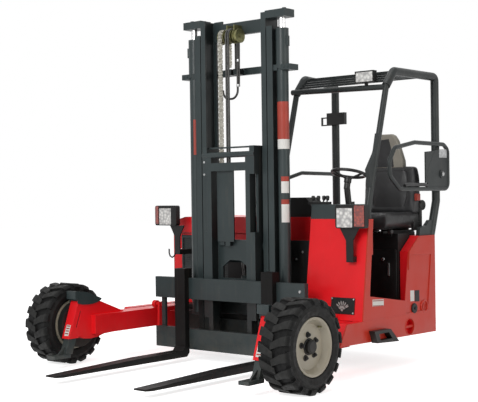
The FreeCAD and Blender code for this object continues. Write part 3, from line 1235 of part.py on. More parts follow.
def steering_wheel():
    """Rim, spokes and hub, tilted towards the seat."""
    ring = Part.makeTorus(WHEEL_RADIUS, 11.0)
    boss = Part.makeCylinder(26.0, 40.0, V(0, 0, -66))
    bore = Part.makeCylinder(SHAFT_RADIUS + RUNNING_GAP, 27.0, V(0, 0, -67))
    parts = [ring, boss]
    reach = WHEEL_RADIUS - 7
    for step in range(3):
        angle = math.radians(90 + 120 * step)
        parts.append(rod((0, 0, -45), (reach * math.cos(angle), reach * math.sin(angle), -4), 8.0))
    wheel = fuse(parts).cut(bore)
    wheel.rotate(V(0, 0, 0), Y_AXIS, -WHEEL_TILT)
    wheel.translate(V(*STEERING_WHEEL))
    return wheel


def levers():
    """Lever box with its four levers, and the knob on the dash."""
    plate_top = DASH_TOP_Z + 18
    parts = [box((-890.0, -950.0), (490.0, 650.0), (DASH_TOP_Z, plate_top))]
    for y in (508.0, 554.0, 601.0, 632.0):
        parts.append(rod((-920.0, y, plate_top - 1), (-926.0, y, plate_top + 20), 5.0))
        parts.append(rod((-925.0, y, plate_top + 14), (-929.0, y, plate_top + 40), 9.0))
    knob = rod((-900.0, 864.0, DASH_TOP_Z), (-900.0, 864.0, DASH_TOP_Z + 18), 12.0)
    return group([fuse(parts), knob])


export("seat_base", seat_base())
export("seat_cushion", seat_cushion())
export("seat_back", seat_back())
export("seat_shell", seat_shell())
export("steering_column", steering_column())
export("steering_wheel", steering_wheel())
export("control_levers", levers())

# ---------------------------------------------------------------- lamps

LAMP_DEPTH = 45.0
LAMP_Z = (980.0, 1138.0)
LENS_Z = (987.0, 1116.0)
MARKER_Z = (993.0, 1133.0)
# front face, housing along Y, clear lens along Y, marker lens along Y
LAMPS = (
    (-735.0, (830.0, 1070.0), (841.0, 968.0), (985.0, 1064.0)),
    (-930.0, (-833.0, -1065.0), (-892.0, -1019.0), (-1028.0, -1060.0)),
)


def behind_panel():
    """Everything behind the sloping front panel's face."""
    outline = [(FRONT_FOOT_X, FRONT_FOOT_Z), (FRONT_TOP_X, PANEL_TOP_Z), (BODY_REAR_X, PANEL_TOP_Z)]
    return plate_xz(outline, (MODULE_INNER_Y, BODY_SIDE_Y))


def headlamp(front, body_y, lens_y, marker_y):
    """Headlamp housing open in front for its lenses, on a triangular bracket and a stem."""
    housing = box((front, front - LAMP_DEPTH), body_y, LAMP_Z)
    pockets = [
        box((front + 1, front - LAMP_DEPTH + 8), lens_y, LENS_Z),
        box((front + 1, front - LAMP_DEPTH + 8), marker_y, MARKER_Z),
    ]
    side = math.copysign(1, body_y[1])
    middle = lens_y[0] + side * 92
    rear = front - LAMP_DEPTH
    tip = [(middle - 78, LAMP_Z[0] + 1), (middle + 78, LAMP_Z[0] + 1), (middle + 28, 897.0),
           (middle - 28, 897.0)]
    bracket = plate_yz(tip, (rear + 20, rear + 30))
    stem = box((rear + 20, rear + 30), (middle - 28, middle + 28), (753.0, 898.0))
    panel_x = ENGINE_FRONT_X if side < 0 else front_x(790.0) - 10
    foot = box((rear + 21, panel_x), (middle - 28, middle + 28), (753.0, 813.0))
    return fuse([housing.cut(group(pockets)), bracket, stem, foot]).cut(behind_panel())


def lens(front, lens_y):
    """Clear headlamp lens, set just inside the housing's rim."""
    low, high = sorted(lens_y)
    return box((front - 1, front - 13), (low, high), LENS_Z)


def marker(front, marker_y):
    """Coloured marker lens at the outer end of the headlamp."""
    return box((front + 1, front - 17), marker_y, MARKER_Z)


WORK_LAMP_X = (-1128.0, -1083.0)
WORK_LAMP_Y = (768.0, 922.0)
WORK_LAMP_Z = (1983.0, 2067.0)


def work_lamp():
    """Square work lamp on a clip above the guard's front cross bar."""
    housing = box(WORK_LAMP_X, WORK_LAMP_Y, WORK_LAMP_Z)
    front = box((WORK_LAMP_X[1] - 14, WORK_LAMP_X[1] + 1), (WORK_LAMP_Y[0] + 8, WORK_LAMP_Y[1] - 8),
                (WORK_LAMP_Z[0] + 8, WORK_LAMP_Z[1] - 8))
    clip = box((-1118.0, -1104.0), (835.0, 857.0), (1969.0, WORK_LAMP_Z[0] + 1))
    return fuse([housing.cut(front), clip])


def work_lamp_lens():
    """Lens of the work lamp."""
    return box((WORK_LAMP_X[1] - 14, WORK_LAMP_X[1] - 1), (WORK_LAMP_Y[0] + 8, WORK_LAMP_Y[1] - 8),
               (WORK_LAMP_Z[0] + 8, WORK_LAMP_Z[1] - 8))


def mirror():
    """Mirror in front of the guard's inner rear post, and the open frame beside it."""
    y = GUARD_INNER_REAR_Y
    face = GUARD_REAR_X + GUARD_TUBE
    glass = box((face, face + 34), (78.0, 245.0), (1753.0, 1845.0))
    frame = box((face - 6, face + 10), (8.0, 110.0), (1749.0, 1816.0))
    frame = frame.cut(box((face - 7, face + 11), (17.0, 69.0), (1758.0, 1807.0)))
    post = rod((GUARD_REAR_X, y, 1700.0), (GUARD_REAR_X, y, 1900.0), GUARD_TUBE)
    return fuse([glass, frame]).cut(post)


export("headlamps", group(headlamp(*lamp) for lamp in LAMPS))
export("marker_lenses", group(marker(front, marker_y) for front, _, _, marker_y in LAMPS))
export("work_lamp", work_lamp())
export("lamp_lenses", group([lens(front, lens_y) for front, _, lens_y, _ in LAMPS] + [work_lamp_lens()]))
export("mirror", mirror())
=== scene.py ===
import bmesh
import bpy
import json
import math
from mathutils import Matrix, Vector


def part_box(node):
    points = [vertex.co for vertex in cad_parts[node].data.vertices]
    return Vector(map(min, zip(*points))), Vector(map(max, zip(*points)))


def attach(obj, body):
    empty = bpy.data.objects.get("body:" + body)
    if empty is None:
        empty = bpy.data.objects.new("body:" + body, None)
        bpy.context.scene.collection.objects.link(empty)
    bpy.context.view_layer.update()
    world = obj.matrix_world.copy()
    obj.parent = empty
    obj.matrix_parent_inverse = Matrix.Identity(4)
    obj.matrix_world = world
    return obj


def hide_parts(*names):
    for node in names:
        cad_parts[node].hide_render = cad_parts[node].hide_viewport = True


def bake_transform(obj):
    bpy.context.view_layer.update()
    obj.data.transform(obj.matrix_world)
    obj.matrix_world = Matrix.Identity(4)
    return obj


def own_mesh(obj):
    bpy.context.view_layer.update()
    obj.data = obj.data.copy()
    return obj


# Looks of the truck-mounted forklift. Metres, in the row frame: +X to the fork tips, +Y to the
# machine's left, Z up. Places of trim are given in millimetres from the front axle, as in the
# part's source, and at() turns them into the row frame; AX is the front axle's X there.

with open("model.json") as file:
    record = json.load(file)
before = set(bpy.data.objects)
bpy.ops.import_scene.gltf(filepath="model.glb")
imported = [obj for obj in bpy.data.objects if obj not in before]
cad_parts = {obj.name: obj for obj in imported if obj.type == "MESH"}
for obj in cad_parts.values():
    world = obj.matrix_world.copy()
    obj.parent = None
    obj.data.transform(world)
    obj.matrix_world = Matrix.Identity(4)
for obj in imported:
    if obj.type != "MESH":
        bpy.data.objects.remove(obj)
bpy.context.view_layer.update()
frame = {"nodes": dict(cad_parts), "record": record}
RIM_LOW, RIM_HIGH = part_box("front_left_rim")
AX = (RIM_LOW[0] + RIM_HIGH[0]) / 2
AXLE_Z = (RIM_LOW[2] + RIM_HIGH[2]) / 2
REAR_LOW, REAR_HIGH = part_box("rear_rim")
REAR_AX = (REAR_LOW[0] + REAR_HIGH[0]) / 2
MM = 0.001


def at(x, y, z):
    """Place in the row frame of a point in millimetres from the front axle."""
    return Vector((AX + x * MM, y * MM, z * MM))


# -------------------- camera, floor and light

CAMERA_FROM_AXLE = (5273.0, 5089.0, 1211.0)
CAMERA_YAW, CAMERA_PITCH, CAMERA_ROLL = (math.radians(angle) for angle in (40.357, 0.296, 0.786))
FOCAL_PX = 1089.42
FRAME_PX = 478
SENSOR = 36.0


def camera():
    """Camera at the photograph's place and angle."""
    level = math.cos(CAMERA_PITCH)
    ahead = Vector((-math.cos(CAMERA_YAW) * level, -math.sin(CAMERA_YAW) * level, -math.sin(CAMERA_PITCH)))
    right = ahead.cross(Vector((0, 0, 1))).normalized()
    down = ahead.cross(right)
    c, s = math.cos(CAMERA_ROLL), math.sin(CAMERA_ROLL)
    across, below = c * right + s * down, -s * right + c * down
    turn = Matrix((across, -below, -ahead)).transposed()
    data = bpy.data.cameras.new("camera")
    data.sensor_width = SENSOR
    data.lens = FOCAL_PX / FRAME_PX * SENSOR
    data.clip_end = 100
    obj = bpy.data.objects.new("camera", data)
    obj.matrix_world = Matrix.Translation(at(*CAMERA_FROM_AXLE)) @ turn.to_4x4()
    bpy.context.collection.objects.link(obj)
    bpy.context.scene.camera = obj


def area_light(name, place, target, size, power, colour):
    """Soft box at a place, facing a target."""
    data = bpy.data.lights.new(name, "AREA")
    data.shape = "RECTANGLE"
    data.size, data.size_y = size
    data.energy = power
    data.color = colour
    obj = bpy.data.objects.new(name, data)
    obj.location = place
    obj.rotation_euler = (Vector(target) - Vector(place)).to_track_quat("-Z", "Y").to_euler()
    bpy.context.collection.objects.link(obj)


def white_rays(tree):
    """1 for the rays that see the background: camera, glossy and transmission."""
    path = tree.nodes.new("ShaderNodeLightPath")
    seen = path.outputs["Is Camera Ray"]
    for ray in ("Is Glossy Ray", "Is Transmission Ray"):
        both = tree.nodes.new("ShaderNodeMath")
        both.operation = "MAXIMUM"
        tree.links.new(seen, both.inputs[0])
        tree.links.new(path.outputs[ray], both.inputs[1])
        seen = both.outputs[0]
    return seen


# share of white the floor shows by itself, and how much light the surround gives to the machine
FLOOR_LIFT = 0.74
SURROUND = 0.30
SKY = (0.97, 0.985, 1.0, 1)
FLOOR_SIZE = 60
WHITE, WARM = (1, 1, 1), (1.0, 0.96, 0.9)
# name, place, target, size, power and colour of each soft box
LIGHTS = (
    ("key", (6.5, 1.5, 4.2), (AX - 0.6, 0, 0.9), (3.5, 3.0), 305, WHITE),
    ("side", (AX - 1.0, 6.5, 2.6), (AX - 0.9, 0, 0.7), (4.0, 2.6), 80, WARM),
    ("top", (AX - 0.8, 0.4, 6.5), (AX - 0.8, 0, 0.5), (4.0, 4.0), 105, WHITE),
    ("rim", (-5.0, -4.0, 4.0), (AX - 0.8, 0, 1.0), (3.0, 3.0), 40, WHITE),
)


def studio():
    """Pale floor, white surround and soft boxes."""
    bpy.ops.mesh.primitive_plane_add(size=FLOOR_SIZE, location=(0, 0, 0))
    floor = bpy.context.object
    floor.name = "floor"
    mat = bpy.data.materials.new("floor")
    mat.use_nodes = True
    tree = mat.node_tree
    shader = tree.nodes["Principled BSDF"]
    values = {"Base Color": (0.92, 0.92, 0.92, 1), "Roughness": 0.9, "Specular IOR Level": 0.0,
              "Emission Color": (1, 1, 1, 1)}
    for socket, value in values.items():
        shader.inputs[socket].default_value = value
    lift = tree.nodes.new("ShaderNodeMath")
    lift.operation = "MULTIPLY"
    lift.inputs[1].default_value = FLOOR_LIFT
    tree.links.new(white_rays(tree), lift.inputs[0])
    tree.links.new(lift.outputs[0], shader.inputs["Emission Strength"])
    floor.data.materials.append(mat)

    world = bpy.data.worlds.new("surround")
    bpy.context.scene.world = world
    world.use_nodes = True
    tree = world.node_tree
    tree.nodes.clear()
    mix = tree.nodes.new("ShaderNodeMixShader")
    tree.links.new(white_rays(tree), mix.inputs["Fac"])
    for slot, colour, strength in ((1, SKY, SURROUND), (2, (1, 1, 1, 1), 1.0)):
        shade = tree.nodes.new("ShaderNodeBackground")
        shade.inputs["Color"].default_value = colour
        shade.inputs["Strength"].default_value = strength
        tree.links.new(shade.outputs[0], mix.inputs[slot])
    out = tree.nodes.new("ShaderNodeOutputWorld")
    tree.links.new(mix.outputs[0], out.inputs[0])

    for light in LIGHTS:
        area_light(*light)


camera()
studio()
bpy.context.scene.view_settings.view_transform = "Standard"

# -------------------- materials


class Shader:
    """A Principled material with helpers for its node graph."""

    def __init__(self, name, rough, metal=0.0, spec=0.5, coat=0.0):
        self.mat = bpy.data.materials.new(name)
        self.mat.use_nodes = True
        self.tree = self.mat.node_tree
        self.out = self.tree.nodes["Principled BSDF"]
        values = {"Roughness": rough, "Metallic": metal, "Specular IOR Level": spec, "Coat Weight": coat,
                  "Coat Roughness": 0.12}
        for socket, value in values.items():
            self.out.inputs[socket].default_value = value
        self.place = self.add("ShaderNodeTexCoord").outputs["Object"]

    def add(self, kind, **values):
        node = self.tree.nodes.new(kind)
        for key, value in values.items():
            setattr(node, key, value)
        return node

    def link(self, a, b):
        self.tree.links.new(a, b)

    def noise(self, scale, detail=4.0, rough=0.55, stretch=(1, 1, 1)):
        """Noise in metres, stretched along the axes."""
        source = self.place
        if stretch != (1, 1, 1):
            mapping = self.add("ShaderNodeMapping")
            mapping.inputs["Scale"].default_value = stretch
            self.link(self.place, mapping.inputs["Vector"])
            source = mapping.outputs["Vector"]
        node = self.add("ShaderNodeTexNoise")
        node.inputs["Scale"].default_value = scale
        node.inputs["Detail"].default_value = detail
        node.inputs["Roughness"].default_value = rough
        self.link(source, node.inputs["Vector"])
        return node.outputs["Fac"]

    def spread(self, value, low, high, to_low=0.0, to_high=1.0):
        """Value mapped from one range to another, clamped."""
        node = self.add("ShaderNodeMapRange")
        for index, number in enumerate((low, high, to_low, to_high), start=1):
            node.inputs[index].default_value = number
        self.link(value, node.inputs[0])
        return node.outputs[0]

    def mix(self, share, first, second):
        """Colour mix; first and second are colours or sockets."""
        node = self.add("ShaderNodeMix", data_type="RGBA")
        self.link(share, node.inputs["Factor"])
        for socket, value in ((node.inputs[6], first), (node.inputs[7], second)):
            if isinstance(value, tuple):
                socket.default_value = (*value, 1)
            else:
                self.link(value, socket)
        return node.outputs[2]

    def maths(self, kind, a, b=None):
        """One operation on values that are sockets or numbers."""
        node = self.add("ShaderNodeMath", operation=kind)
        for socket, value in zip(node.inputs, (a, b)):
            if isinstance(value, float):
                socket.default_value = value
            elif value is not None:
                self.link(value, socket)
        return node.outputs[0]

    def times(self, a, b):
        return self.maths("MULTIPLY", a, b)

    def along(self, axis):
        """The X, Y or Z of a point of the piece."""
        node = self.add("ShaderNodeSeparateXYZ")
        self.link(self.place, node.inputs[0])
        return node.outputs[axis]

    def radius(self, axle_x, axle_z):
        """Distance from an axle along Y."""
        source = self.place
        for kind, value in (("SUBTRACT", (axle_x, 0, axle_z)), ("MULTIPLY", (1, 0, 1))):
            node = self.add("ShaderNodeVectorMath", operation=kind)
            self.link(source, node.inputs[0])
            node.inputs[1].default_value = value
            source = node.outputs["Vector"]
        length = self.add("ShaderNodeVectorMath", operation="LENGTH")
        self.link(source, length.inputs[0])
        return length.outputs["Value"]

    def bevelled(self, radius):
        """Normal of the surface with its edges rounded."""
        bevel = self.add("ShaderNodeBevel", samples=4)
        bevel.inputs["Radius"].default_value = radius
        return bevel.outputs["Normal"]

    def edges(self, radius):
        """1 on sharp edges and 0 on faces, from how a bevel would turn the surface."""
        dot = self.add("ShaderNodeVectorMath", operation="DOT_PRODUCT")
        self.link(self.bevelled(radius), dot.inputs[0])
        self.link(self.add("ShaderNodeNewGeometry").outputs["Normal"], dot.inputs[1])
        return self.spread(dot.outputs["Value"], 0.97, 0.8)

    def bump(self, heights, strength, distance, rounding=0.0):
        """Bump from a height, with the piece's edges rounded as well if asked."""
        node = self.add("ShaderNodeBump")
        node.inputs["Strength"].default_value = strength
        node.inputs["Distance"].default_value = distance
        self.link(heights, node.inputs["Height"])
        if rounding:
            self.link(self.bevelled(rounding), node.inputs["Normal"])
        self.link(node.outputs["Normal"], self.out.inputs["Normal"])

    def colour(self, socket):
        self.link(socket, self.out.inputs["Base Color"])

    def roughness(self, socket):
        self.link(socket, self.out.inputs["Roughness"])


DUST = (0.20, 0.16, 0.12)
# near-black painted shade for the mast's channels and for the band between the fork bars
PAINTED_SHADE = (0.004, 0.0045, 0.0045)
# |Y| in metres between which the painted shade inside the mast fades out and in
PAINTED_SHADE_EDGE = (0.372, 0.366)
# how fine the enamel's patches, streaks, dust, chips, sheen and orange peel are
PATCHES, STREAKS, DUSTING, CHIPS, SHEEN, PEEL = 3.2, 26.0, 14.0, 38.0, 9.0, 420.0
# radii in metres: worn lug faces over near-black grooves in painted shade, sidewall and its moulded rings,
# each from none to full
LUG_FACES, SIDEWALL, RINGS = (0.2785, 0.2895), (0.262, 0.240), (0.258, 0.25)
RING_WAVES = 420.0


def enamel(name, base, dark, rough, chip, wear=0.55, coat=0.25, spec=0.4, dust_top=0.35, flank_paint_and_painted_light=None,
           flank=1.030, shaded_band=None):
    """Sprayed enamel: patches, streaks, dust low down, chipped edges and orange peel.

    Where |Y| is past flank the colour turns to the flank colour: on the red enamel a darker, warmer red,
    which is painted light for how the light falls on the machine's sides; on the reach frame it is the side
    plates' own red paint. Inside the mast, sideways faces and the Z band given last get near-black painted
    shade, for the shade in the mast's channels and between the fork bars.
    """
    s = Shader(name, rough, spec=spec, coat=coat)
    body = s.mix(s.spread(s.noise(PATCHES, 5), 0.35, 0.68), dark, base)
    # painted light on the red: past flank it turns to a darker, warmer red for how the light falls on the
    # sides; on the reach frame this is its real red side paint
    if flank_paint_and_painted_light:
        outside = s.spread(s.maths("ABSOLUTE", s.along("Y")), flank, flank + 0.003)
        body = s.mix(outside, body, flank_paint_and_painted_light)
    # painted shade: near-black on sideways faces inside the mast and in the given Z band
    if shaded_band:
        facing = s.add("ShaderNodeSeparateXYZ")
        s.link(s.add("ShaderNodeNewGeometry").outputs["Normal"], facing.inputs[0])
        sideways = s.spread(s.maths("ABSOLUTE", facing.outputs["Y"]), 0.75, 0.9)
        inner = s.spread(s.maths("ABSOLUTE", s.along("Y")), *PAINTED_SHADE_EDGE)
        low, high = shaded_band
        band = s.times(s.spread(s.along("Z"), low - 0.004, low), s.spread(s.along("Z"), high + 0.004, high))
        painted_shade_mask = s.maths("MAXIMUM", s.times(sideways, inner), s.times(band, inner))
        body = s.mix(s.times(painted_shade_mask, 0.8), body, PAINTED_SHADE)
    streaks = s.spread(s.noise(STREAKS, 6, 0.65, (1, 1, 0.12)), 0.56, 0.8, 0.0, 0.10)
    body = s.mix(streaks, body, DUST)
    low = s.spread(s.along("Z"), dust_top, 0.02, 0.0, 0.22)
    grime = s.times(low, s.spread(s.noise(DUSTING, 6, 0.7), 0.35, 0.7))
    body = s.mix(grime, body, DUST)
    worn = s.times(s.edges(0.004), s.spread(s.noise(CHIPS, 5, 0.7), 0.52, 0.66, 0.0, wear))
    s.colour(s.mix(worn, body, chip))
    s.roughness(s.spread(s.noise(SHEEN, 5, 0.6), 0.3, 0.75, rough - 0.07, rough + 0.13))
    s.bump(s.noise(PEEL, 2, 0.5), 0.06, 0.0006, rounding=0.003)
    return s.mat


def rubber(name, axle_x):
    """Tyre rubber: worn grey lug faces, grooves coloured near-black as painted shade, and moulded rings on
    the sidewalls.
    """
    s = Shader(name, 0.7, spec=0.15)
    away = s.radius(axle_x, AXLE_Z)
    face = s.spread(away, *LUG_FACES)
    face = s.times(face, s.spread(s.noise(24.0, 6, 0.65), 0.3, 0.7, 0.35, 1.0))
    # the grooves' near-black is painted shade; the lug faces' grey is wear
    body = s.mix(face, (0.0045, 0.0045, 0.0045), (0.024, 0.024, 0.023))
    wall = s.times(s.spread(away, *SIDEWALL), s.spread(s.noise(9.0, 5, 0.6), 0.35, 0.7, 0.3, 1.0))
    body = s.mix(wall, body, (0.013, 0.0125, 0.012))
    scuffs = s.times(s.edges(0.006), s.spread(s.noise(60.0, 4, 0.7), 0.4, 0.7, 0.0, 0.6))
    s.colour(s.mix(scuffs, body, (0.065, 0.065, 0.065)))
    s.roughness(s.spread(s.noise(40.0, 4), 0.3, 0.7, 0.42, 0.78))
    rings = s.times(s.maths("SINE", s.times(away, RING_WAVES)), s.spread(away, *RINGS))
    grain = s.times(s.noise(260.0, 5, 0.7), 0.5)
    s.bump(s.maths("ADD", grain, s.times(rings, 0.35)), 0.35, 0.0015, rounding=0.004)
    return s.mat


SCRATCH_SCALE = 60.0


def bare_metal(name, base, dark, rough):
    """Turned or polished metal with fine scratches and oily patches."""
    s = Shader(name, rough, metal=1.0)
    s.colour(s.mix(s.spread(s.noise(SCRATCH_SCALE, 5, 0.7), 0.35, 0.7), dark, base))
    smears = s.noise(SCRATCH_SCALE * 1.7, 5, 0.6)
    s.roughness(s.spread(smears, 0.3, 0.7, max(rough - 0.1, 0.04), rough + 0.15))
    s.bump(s.noise(500.0, 2, 0.5, (1, 1, 0.1)), 0.05, 0.0004)
    return s.mat


def moulded(name, base, light, rough, grain=700.0, strength=0.25):
    """Moulded plastic or vinyl with a fine leathery grain."""
    s = Shader(name, rough, spec=0.35)
    s.colour(s.mix(s.spread(s.noise(7.0, 4), 0.3, 0.72), base, light))
    s.roughness(s.spread(s.noise(18.0, 4), 0.3, 0.7, rough - 0.08, rough + 0.12))
    cells = s.add("ShaderNodeTexVoronoi", feature="DISTANCE_TO_EDGE")
    cells.inputs["Scale"].default_value = grain
    s.link(s.place, cells.inputs["Vector"])
    s.bump(cells.outputs["Distance"], strength, 0.0008, rounding=0.002)
    return s.mat


def lamp_glass(name, bright, dark, scale):
    """Lamp glass over a faceted reflector, whose bright and dark facets are painted reflection in the colour.
    """
    s = Shader(name, 0.12, spec=0.8, coat=0.6)
    cells = s.add("ShaderNodeTexVoronoi", feature="F1")
    cells.inputs["Scale"].default_value = scale
    cells.inputs["Randomness"].default_value = 0.9
    s.link(s.place, cells.inputs["Vector"])
    # painted reflection: bright and dark cells for the reflector's facets
    s.colour(s.mix(s.spread(cells.outputs["Distance"], 0.1, 0.75), bright, dark))
    s.bump(s.noise(240.0, 1, 0.4, (0.05, 1, 0.05)), 0.3, 0.002)
    return s.mat


# the red's flank colour is painted light: a darker, warmer red for how the light falls on the machine's sides
RED = enamel("red_enamel", (0.80, 0.010, 0.016), (0.70, 0.008, 0.012), 0.36, (0.22, 0.05, 0.04), coat=0.05,
             spec=0.28, flank_paint_and_painted_light=(0.50, 0.026, 0.010))
SLATE_PAINT = {
    "base": (0.026, 0.037, 0.038), "dark": (0.016, 0.025, 0.026), "rough": 0.42, "chip": (0.17, 0.18, 0.18),
    "wear": 0.4, "spec": 0.3, "coat": 0.1,
}
SLATE = enamel("slate_enamel", **SLATE_PAINT)
# painted shade: near-black on the mast below the top of the fork bars, and on the carriage between the fork
# bars
MAST = enamel("mast_slate", shaded_band=(-1.0, 0.456), **SLATE_PAINT)
CARRIAGE = enamel("carriage_slate", shaded_band=(0.243, 0.456), **SLATE_PAINT)
GUARD = enamel("guard_slate", (0.019, 0.024, 0.024), (0.012, 0.015, 0.015), 0.42, (0.12, 0.12, 0.12), 0.35,
               spec=0.3, coat=0.05)
BLACK = enamel("black_enamel", (0.008, 0.008, 0.008), (0.005, 0.005, 0.005), 0.5, (0.09, 0.085, 0.08), 0.5,
               coat=0.0, spec=0.25)
# the reach frame's flank colour is its side plates' own red paint
REACH = enamel("reach_black", (0.010, 0.010, 0.010), (0.006, 0.006, 0.006), 0.5, (0.09, 0.085, 0.08), 0.5,
               coat=0.0, spec=0.25, flank_paint_and_painted_light=(0.68, 0.010, 0.013), flank=0.745)
FORK = enamel("fork_black", (0.0045, 0.0042, 0.004), (0.0035, 0.0032, 0.003), 0.5, (0.10, 0.09, 0.08), 0.7,
              coat=0.0, spec=0.14, dust_top=0.06)
RIM = enamel("rim_beige", (0.33, 0.295, 0.225), (0.27, 0.24, 0.18), 0.4, (0.2, 0.16, 0.12), 0.5)
FRONT_TYRE = rubber("front_tyre_rubber", AX)
REAR_TYRE = rubber("rear_tyre_rubber", REAR_AX)
CHROME = bare_metal("chrome_rod", (0.78, 0.78, 0.78), (0.6, 0.6, 0.6), 0.14)
OILED = bare_metal("oiled_steel", (0.16, 0.155, 0.15), (0.07, 0.07, 0.07), 0.4)
ZINC = bare_metal("zinc_bolt", (0.55, 0.56, 0.56), (0.30, 0.30, 0.30), 0.35)
BRASS = bare_metal("sheave_brass", (0.28, 0.27, 0.13), (0.12, 0.12, 0.06), 0.45)
CHAIN = bare_metal("chain_steel", (0.80, 0.78, 0.70), (0.30, 0.28, 0.24), 0.35)
VINYL = moulded("seat_vinyl", (0.020, 0.020, 0.021), (0.034, 0.034, 0.035), 0.42)
TAUPE = moulded("taupe_plastic", (0.20, 0.185, 0.155), (0.26, 0.24, 0.20), 0.6, 900.0, 0.15)
PLASTIC = moulded("black_plastic", (0.008, 0.008, 0.008), (0.014, 0.014, 0.014), 0.42, 900.0, 0.12)
HOSE = moulded("hose_rubber", (0.030, 0.030, 0.029), (0.055, 0.054, 0.050), 0.5, 500.0, 0.2)
LABEL = moulded("white_label", (0.62, 0.61, 0.58), (0.70, 0.69, 0.66), 0.5, 400.0, 0.05)
LOUVRE = moulded("grey_louvre", (0.26, 0.25, 0.24), (0.36, 0.35, 0.33), 0.5, 400.0, 0.05)
STRIPE = moulded("red_stripe", (0.36, 0.045, 0.028), (0.28, 0.036, 0.022), 0.45, 400.0, 0.05)
# the lenses' bright and dark cells are painted reflection of their reflectors
CLEAR = lamp_glass("lamp_glass", (0.84, 0.83, 0.79), (0.36, 0.355, 0.35), 40.0)
AMBER = lamp_glass("marker_glass", (0.42, 0.045, 0.018), (0.16, 0.012, 0.008), 60.0)

# looks of the material slots, and of the CAD nodes that differ from their slot
LOOKS = {
    "red_paint": RED, "slate_paint": SLATE, "black_paint": BLACK, "tyre_rubber": FRONT_TYRE,
    "rim_paint": RIM, "cylinder_rod": CHROME, "sheave_brass": BRASS, "chain_steel": CHAIN,
    "seat_vinyl": VINYL, "taupe_plastic": TAUPE, "black_plastic": PLASTIC, "clear_lens": CLEAR,
    "amber_lens": AMBER,
}
OWN_LOOKS = {
    "left_fork": FORK, "right_fork": FORK, "rear_tyre": REAR_TYRE, "mast_hoses": HOSE,
    "overhead_guard": GUARD, "restraint_arm": GUARD, "fork_carriage": CARRIAGE, "outer_mast": MAST,
    "inner_mast": MAST, "body_fittings": BLACK, "reach_frame": REACH, "tilt_rods": OILED,
}


def paint_nodes():
    """Give every CAD node its own look, or that of its material slot."""
    for part in frame["record"]["subparts"]:
        obj = frame["nodes"][part["node"]]
        obj.data.materials.clear()
        obj.data.materials.append(OWN_LOOKS.get(part["node"], LOOKS[part["material_slot"]]))


paint_nodes()

# -------------------- mesh pieces

X, Y, Z = Vector((1, 0, 0)), Vector((0, 1, 0)), Vector((0, 0, 1))
LEFT_RIGHT = (1, -1)
SHARP_ANGLE = 35


def soft_edges(obj, width):
    """Small bevel on an object's edges, in millimetres."""
    edge = obj.modifiers.new("edge", "BEVEL")
    edge.width = width * MM
    edge.segments = 2
    edge.limit_method = "ANGLE"


class Solids:
    """Gathers closed forms into the mesh of one piece. Sizes in millimetres, places in the row frame."""

    def __init__(self):
        self.bm = bmesh.new()

    def prism(self, outline, push):
        """Closed outline of places, pushed along a vector in millimetres."""
        low = [self.bm.verts.new(p) for p in outline]
        high = [self.bm.verts.new(p + push * MM) for p in outline]
        self.bm.faces.new(low[::-1])
        self.bm.faces.new(high)
        for i, j in zip(range(len(low)), [*range(1, len(low)), 0]):
            self.bm.faces.new((low[i], low[j], high[j], high[i]))

    def box(self, xs, ys, zs):
        """Box between two limits along each axis, from the front axle."""
        corners = ((xs[0], ys[0]), (xs[1], ys[0]), (xs[1], ys[1]), (xs[0], ys[1]))
        self.prism([at(x, y, zs[0]) for x, y in corners], Z * (zs[1] - zs[0]))

    def plate(self, y, corners, thick):
        """Flat plate from its (x, z) corners on a plane of one Y, grown along Y."""
        self.prism([at(x, y, z) for x, z in corners], Y * thick)

    def skin(self, rings, closed=False):
        """Join rings of vertices in a row, and join or cap the two ends."""
        pairs = list(zip(rings, rings[1:])) + ([(rings[-1], rings[0])] if closed else [])
        for a, b in pairs:
            for i in range(len(a)):
                j = (i + 1) % len(a)
                self.bm.faces.new((a[i], a[j], b[j], b[i]))
        if not closed:
            self.bm.faces.new(rings[0][::-1])
            self.bm.faces.new(rings[-1])

    def turned(self, centre, axis, profile, steps=20, turn=0.0):
        """Rings of (radius, offset) about an axis, closed at both ends."""
        side = axis.orthogonal().normalized()
        other = axis.cross(side).normalized()
        rings = []
        for radius, offset in profile:
            ring = []
            for step in range(steps):
                angle = turn + 2 * math.pi * step / steps
                spoke = (side * math.cos(angle) + other * math.sin(angle)) * radius
                ring.append(self.bm.verts.new(centre + (axis * offset + spoke) * MM))
            rings.append(ring)
        self.skin(rings)

    def bolt(self, centre, axis, across, height):
        """Hexagon bolt head on its washer, standing on a surface."""
        self.turned(centre, axis, [(across * 1.25, -0.5), (across * 1.25, 1.6)], 16)
        self.turned(centre, axis, [(across, 1), (across, height - 1.2), (across * 0.84, height)], 6, 0.3)

    def tube(self, points, radius, steps=10, closed=False):
        """Round tube along a line of places."""
        count = len(points)
        rings = []
        side = None
        for i, point in enumerate(points):
            before = points[i - 1] if closed or i else point
            after = points[(i + 1) % count] if closed or i + 1 < count else point
            ahead = (after - before).normalized()
            if side is None:
                side = ahead.orthogonal()
            side = (side - ahead * side.dot(ahead)).normalized()
            other = ahead.cross(side)
            ring = []
            for step in range(steps):
                angle = 2 * math.pi * step / steps
                spoke = (side * math.cos(angle) + other * math.sin(angle)) * radius * MM
                ring.append(self.bm.verts.new(point + spoke))
            rings.append(ring)
        self.skin(rings, closed)

    def form(self, name):
        """Finish the mesh as a bare object."""
        bmesh.ops.recalc_face_normals(self.bm, faces=self.bm.faces)
        mesh = bpy.data.meshes.new(name)
        self.bm.to_mesh(mesh)
        self.bm.free()
        obj = bpy.data.objects.new(name, mesh)
        bpy.context.collection.objects.link(obj)
        return obj

    def piece(self, name, body, slot, look, bevel=0.0):
        """Finish the mesh as a piece that rides on a body, or on none if body is empty."""
        obj = self.form(name)
        obj.data.materials.append(look)
        obj.data.polygons.foreach_set("use_smooth", [True] * len(obj.data.polygons))
        obj.data.set_sharp_from_angle(angle=math.radians(SHARP_ANGLE))
        if bevel:
            soft_edges(obj, bevel)
        if body:
            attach(obj, body)
        return obj


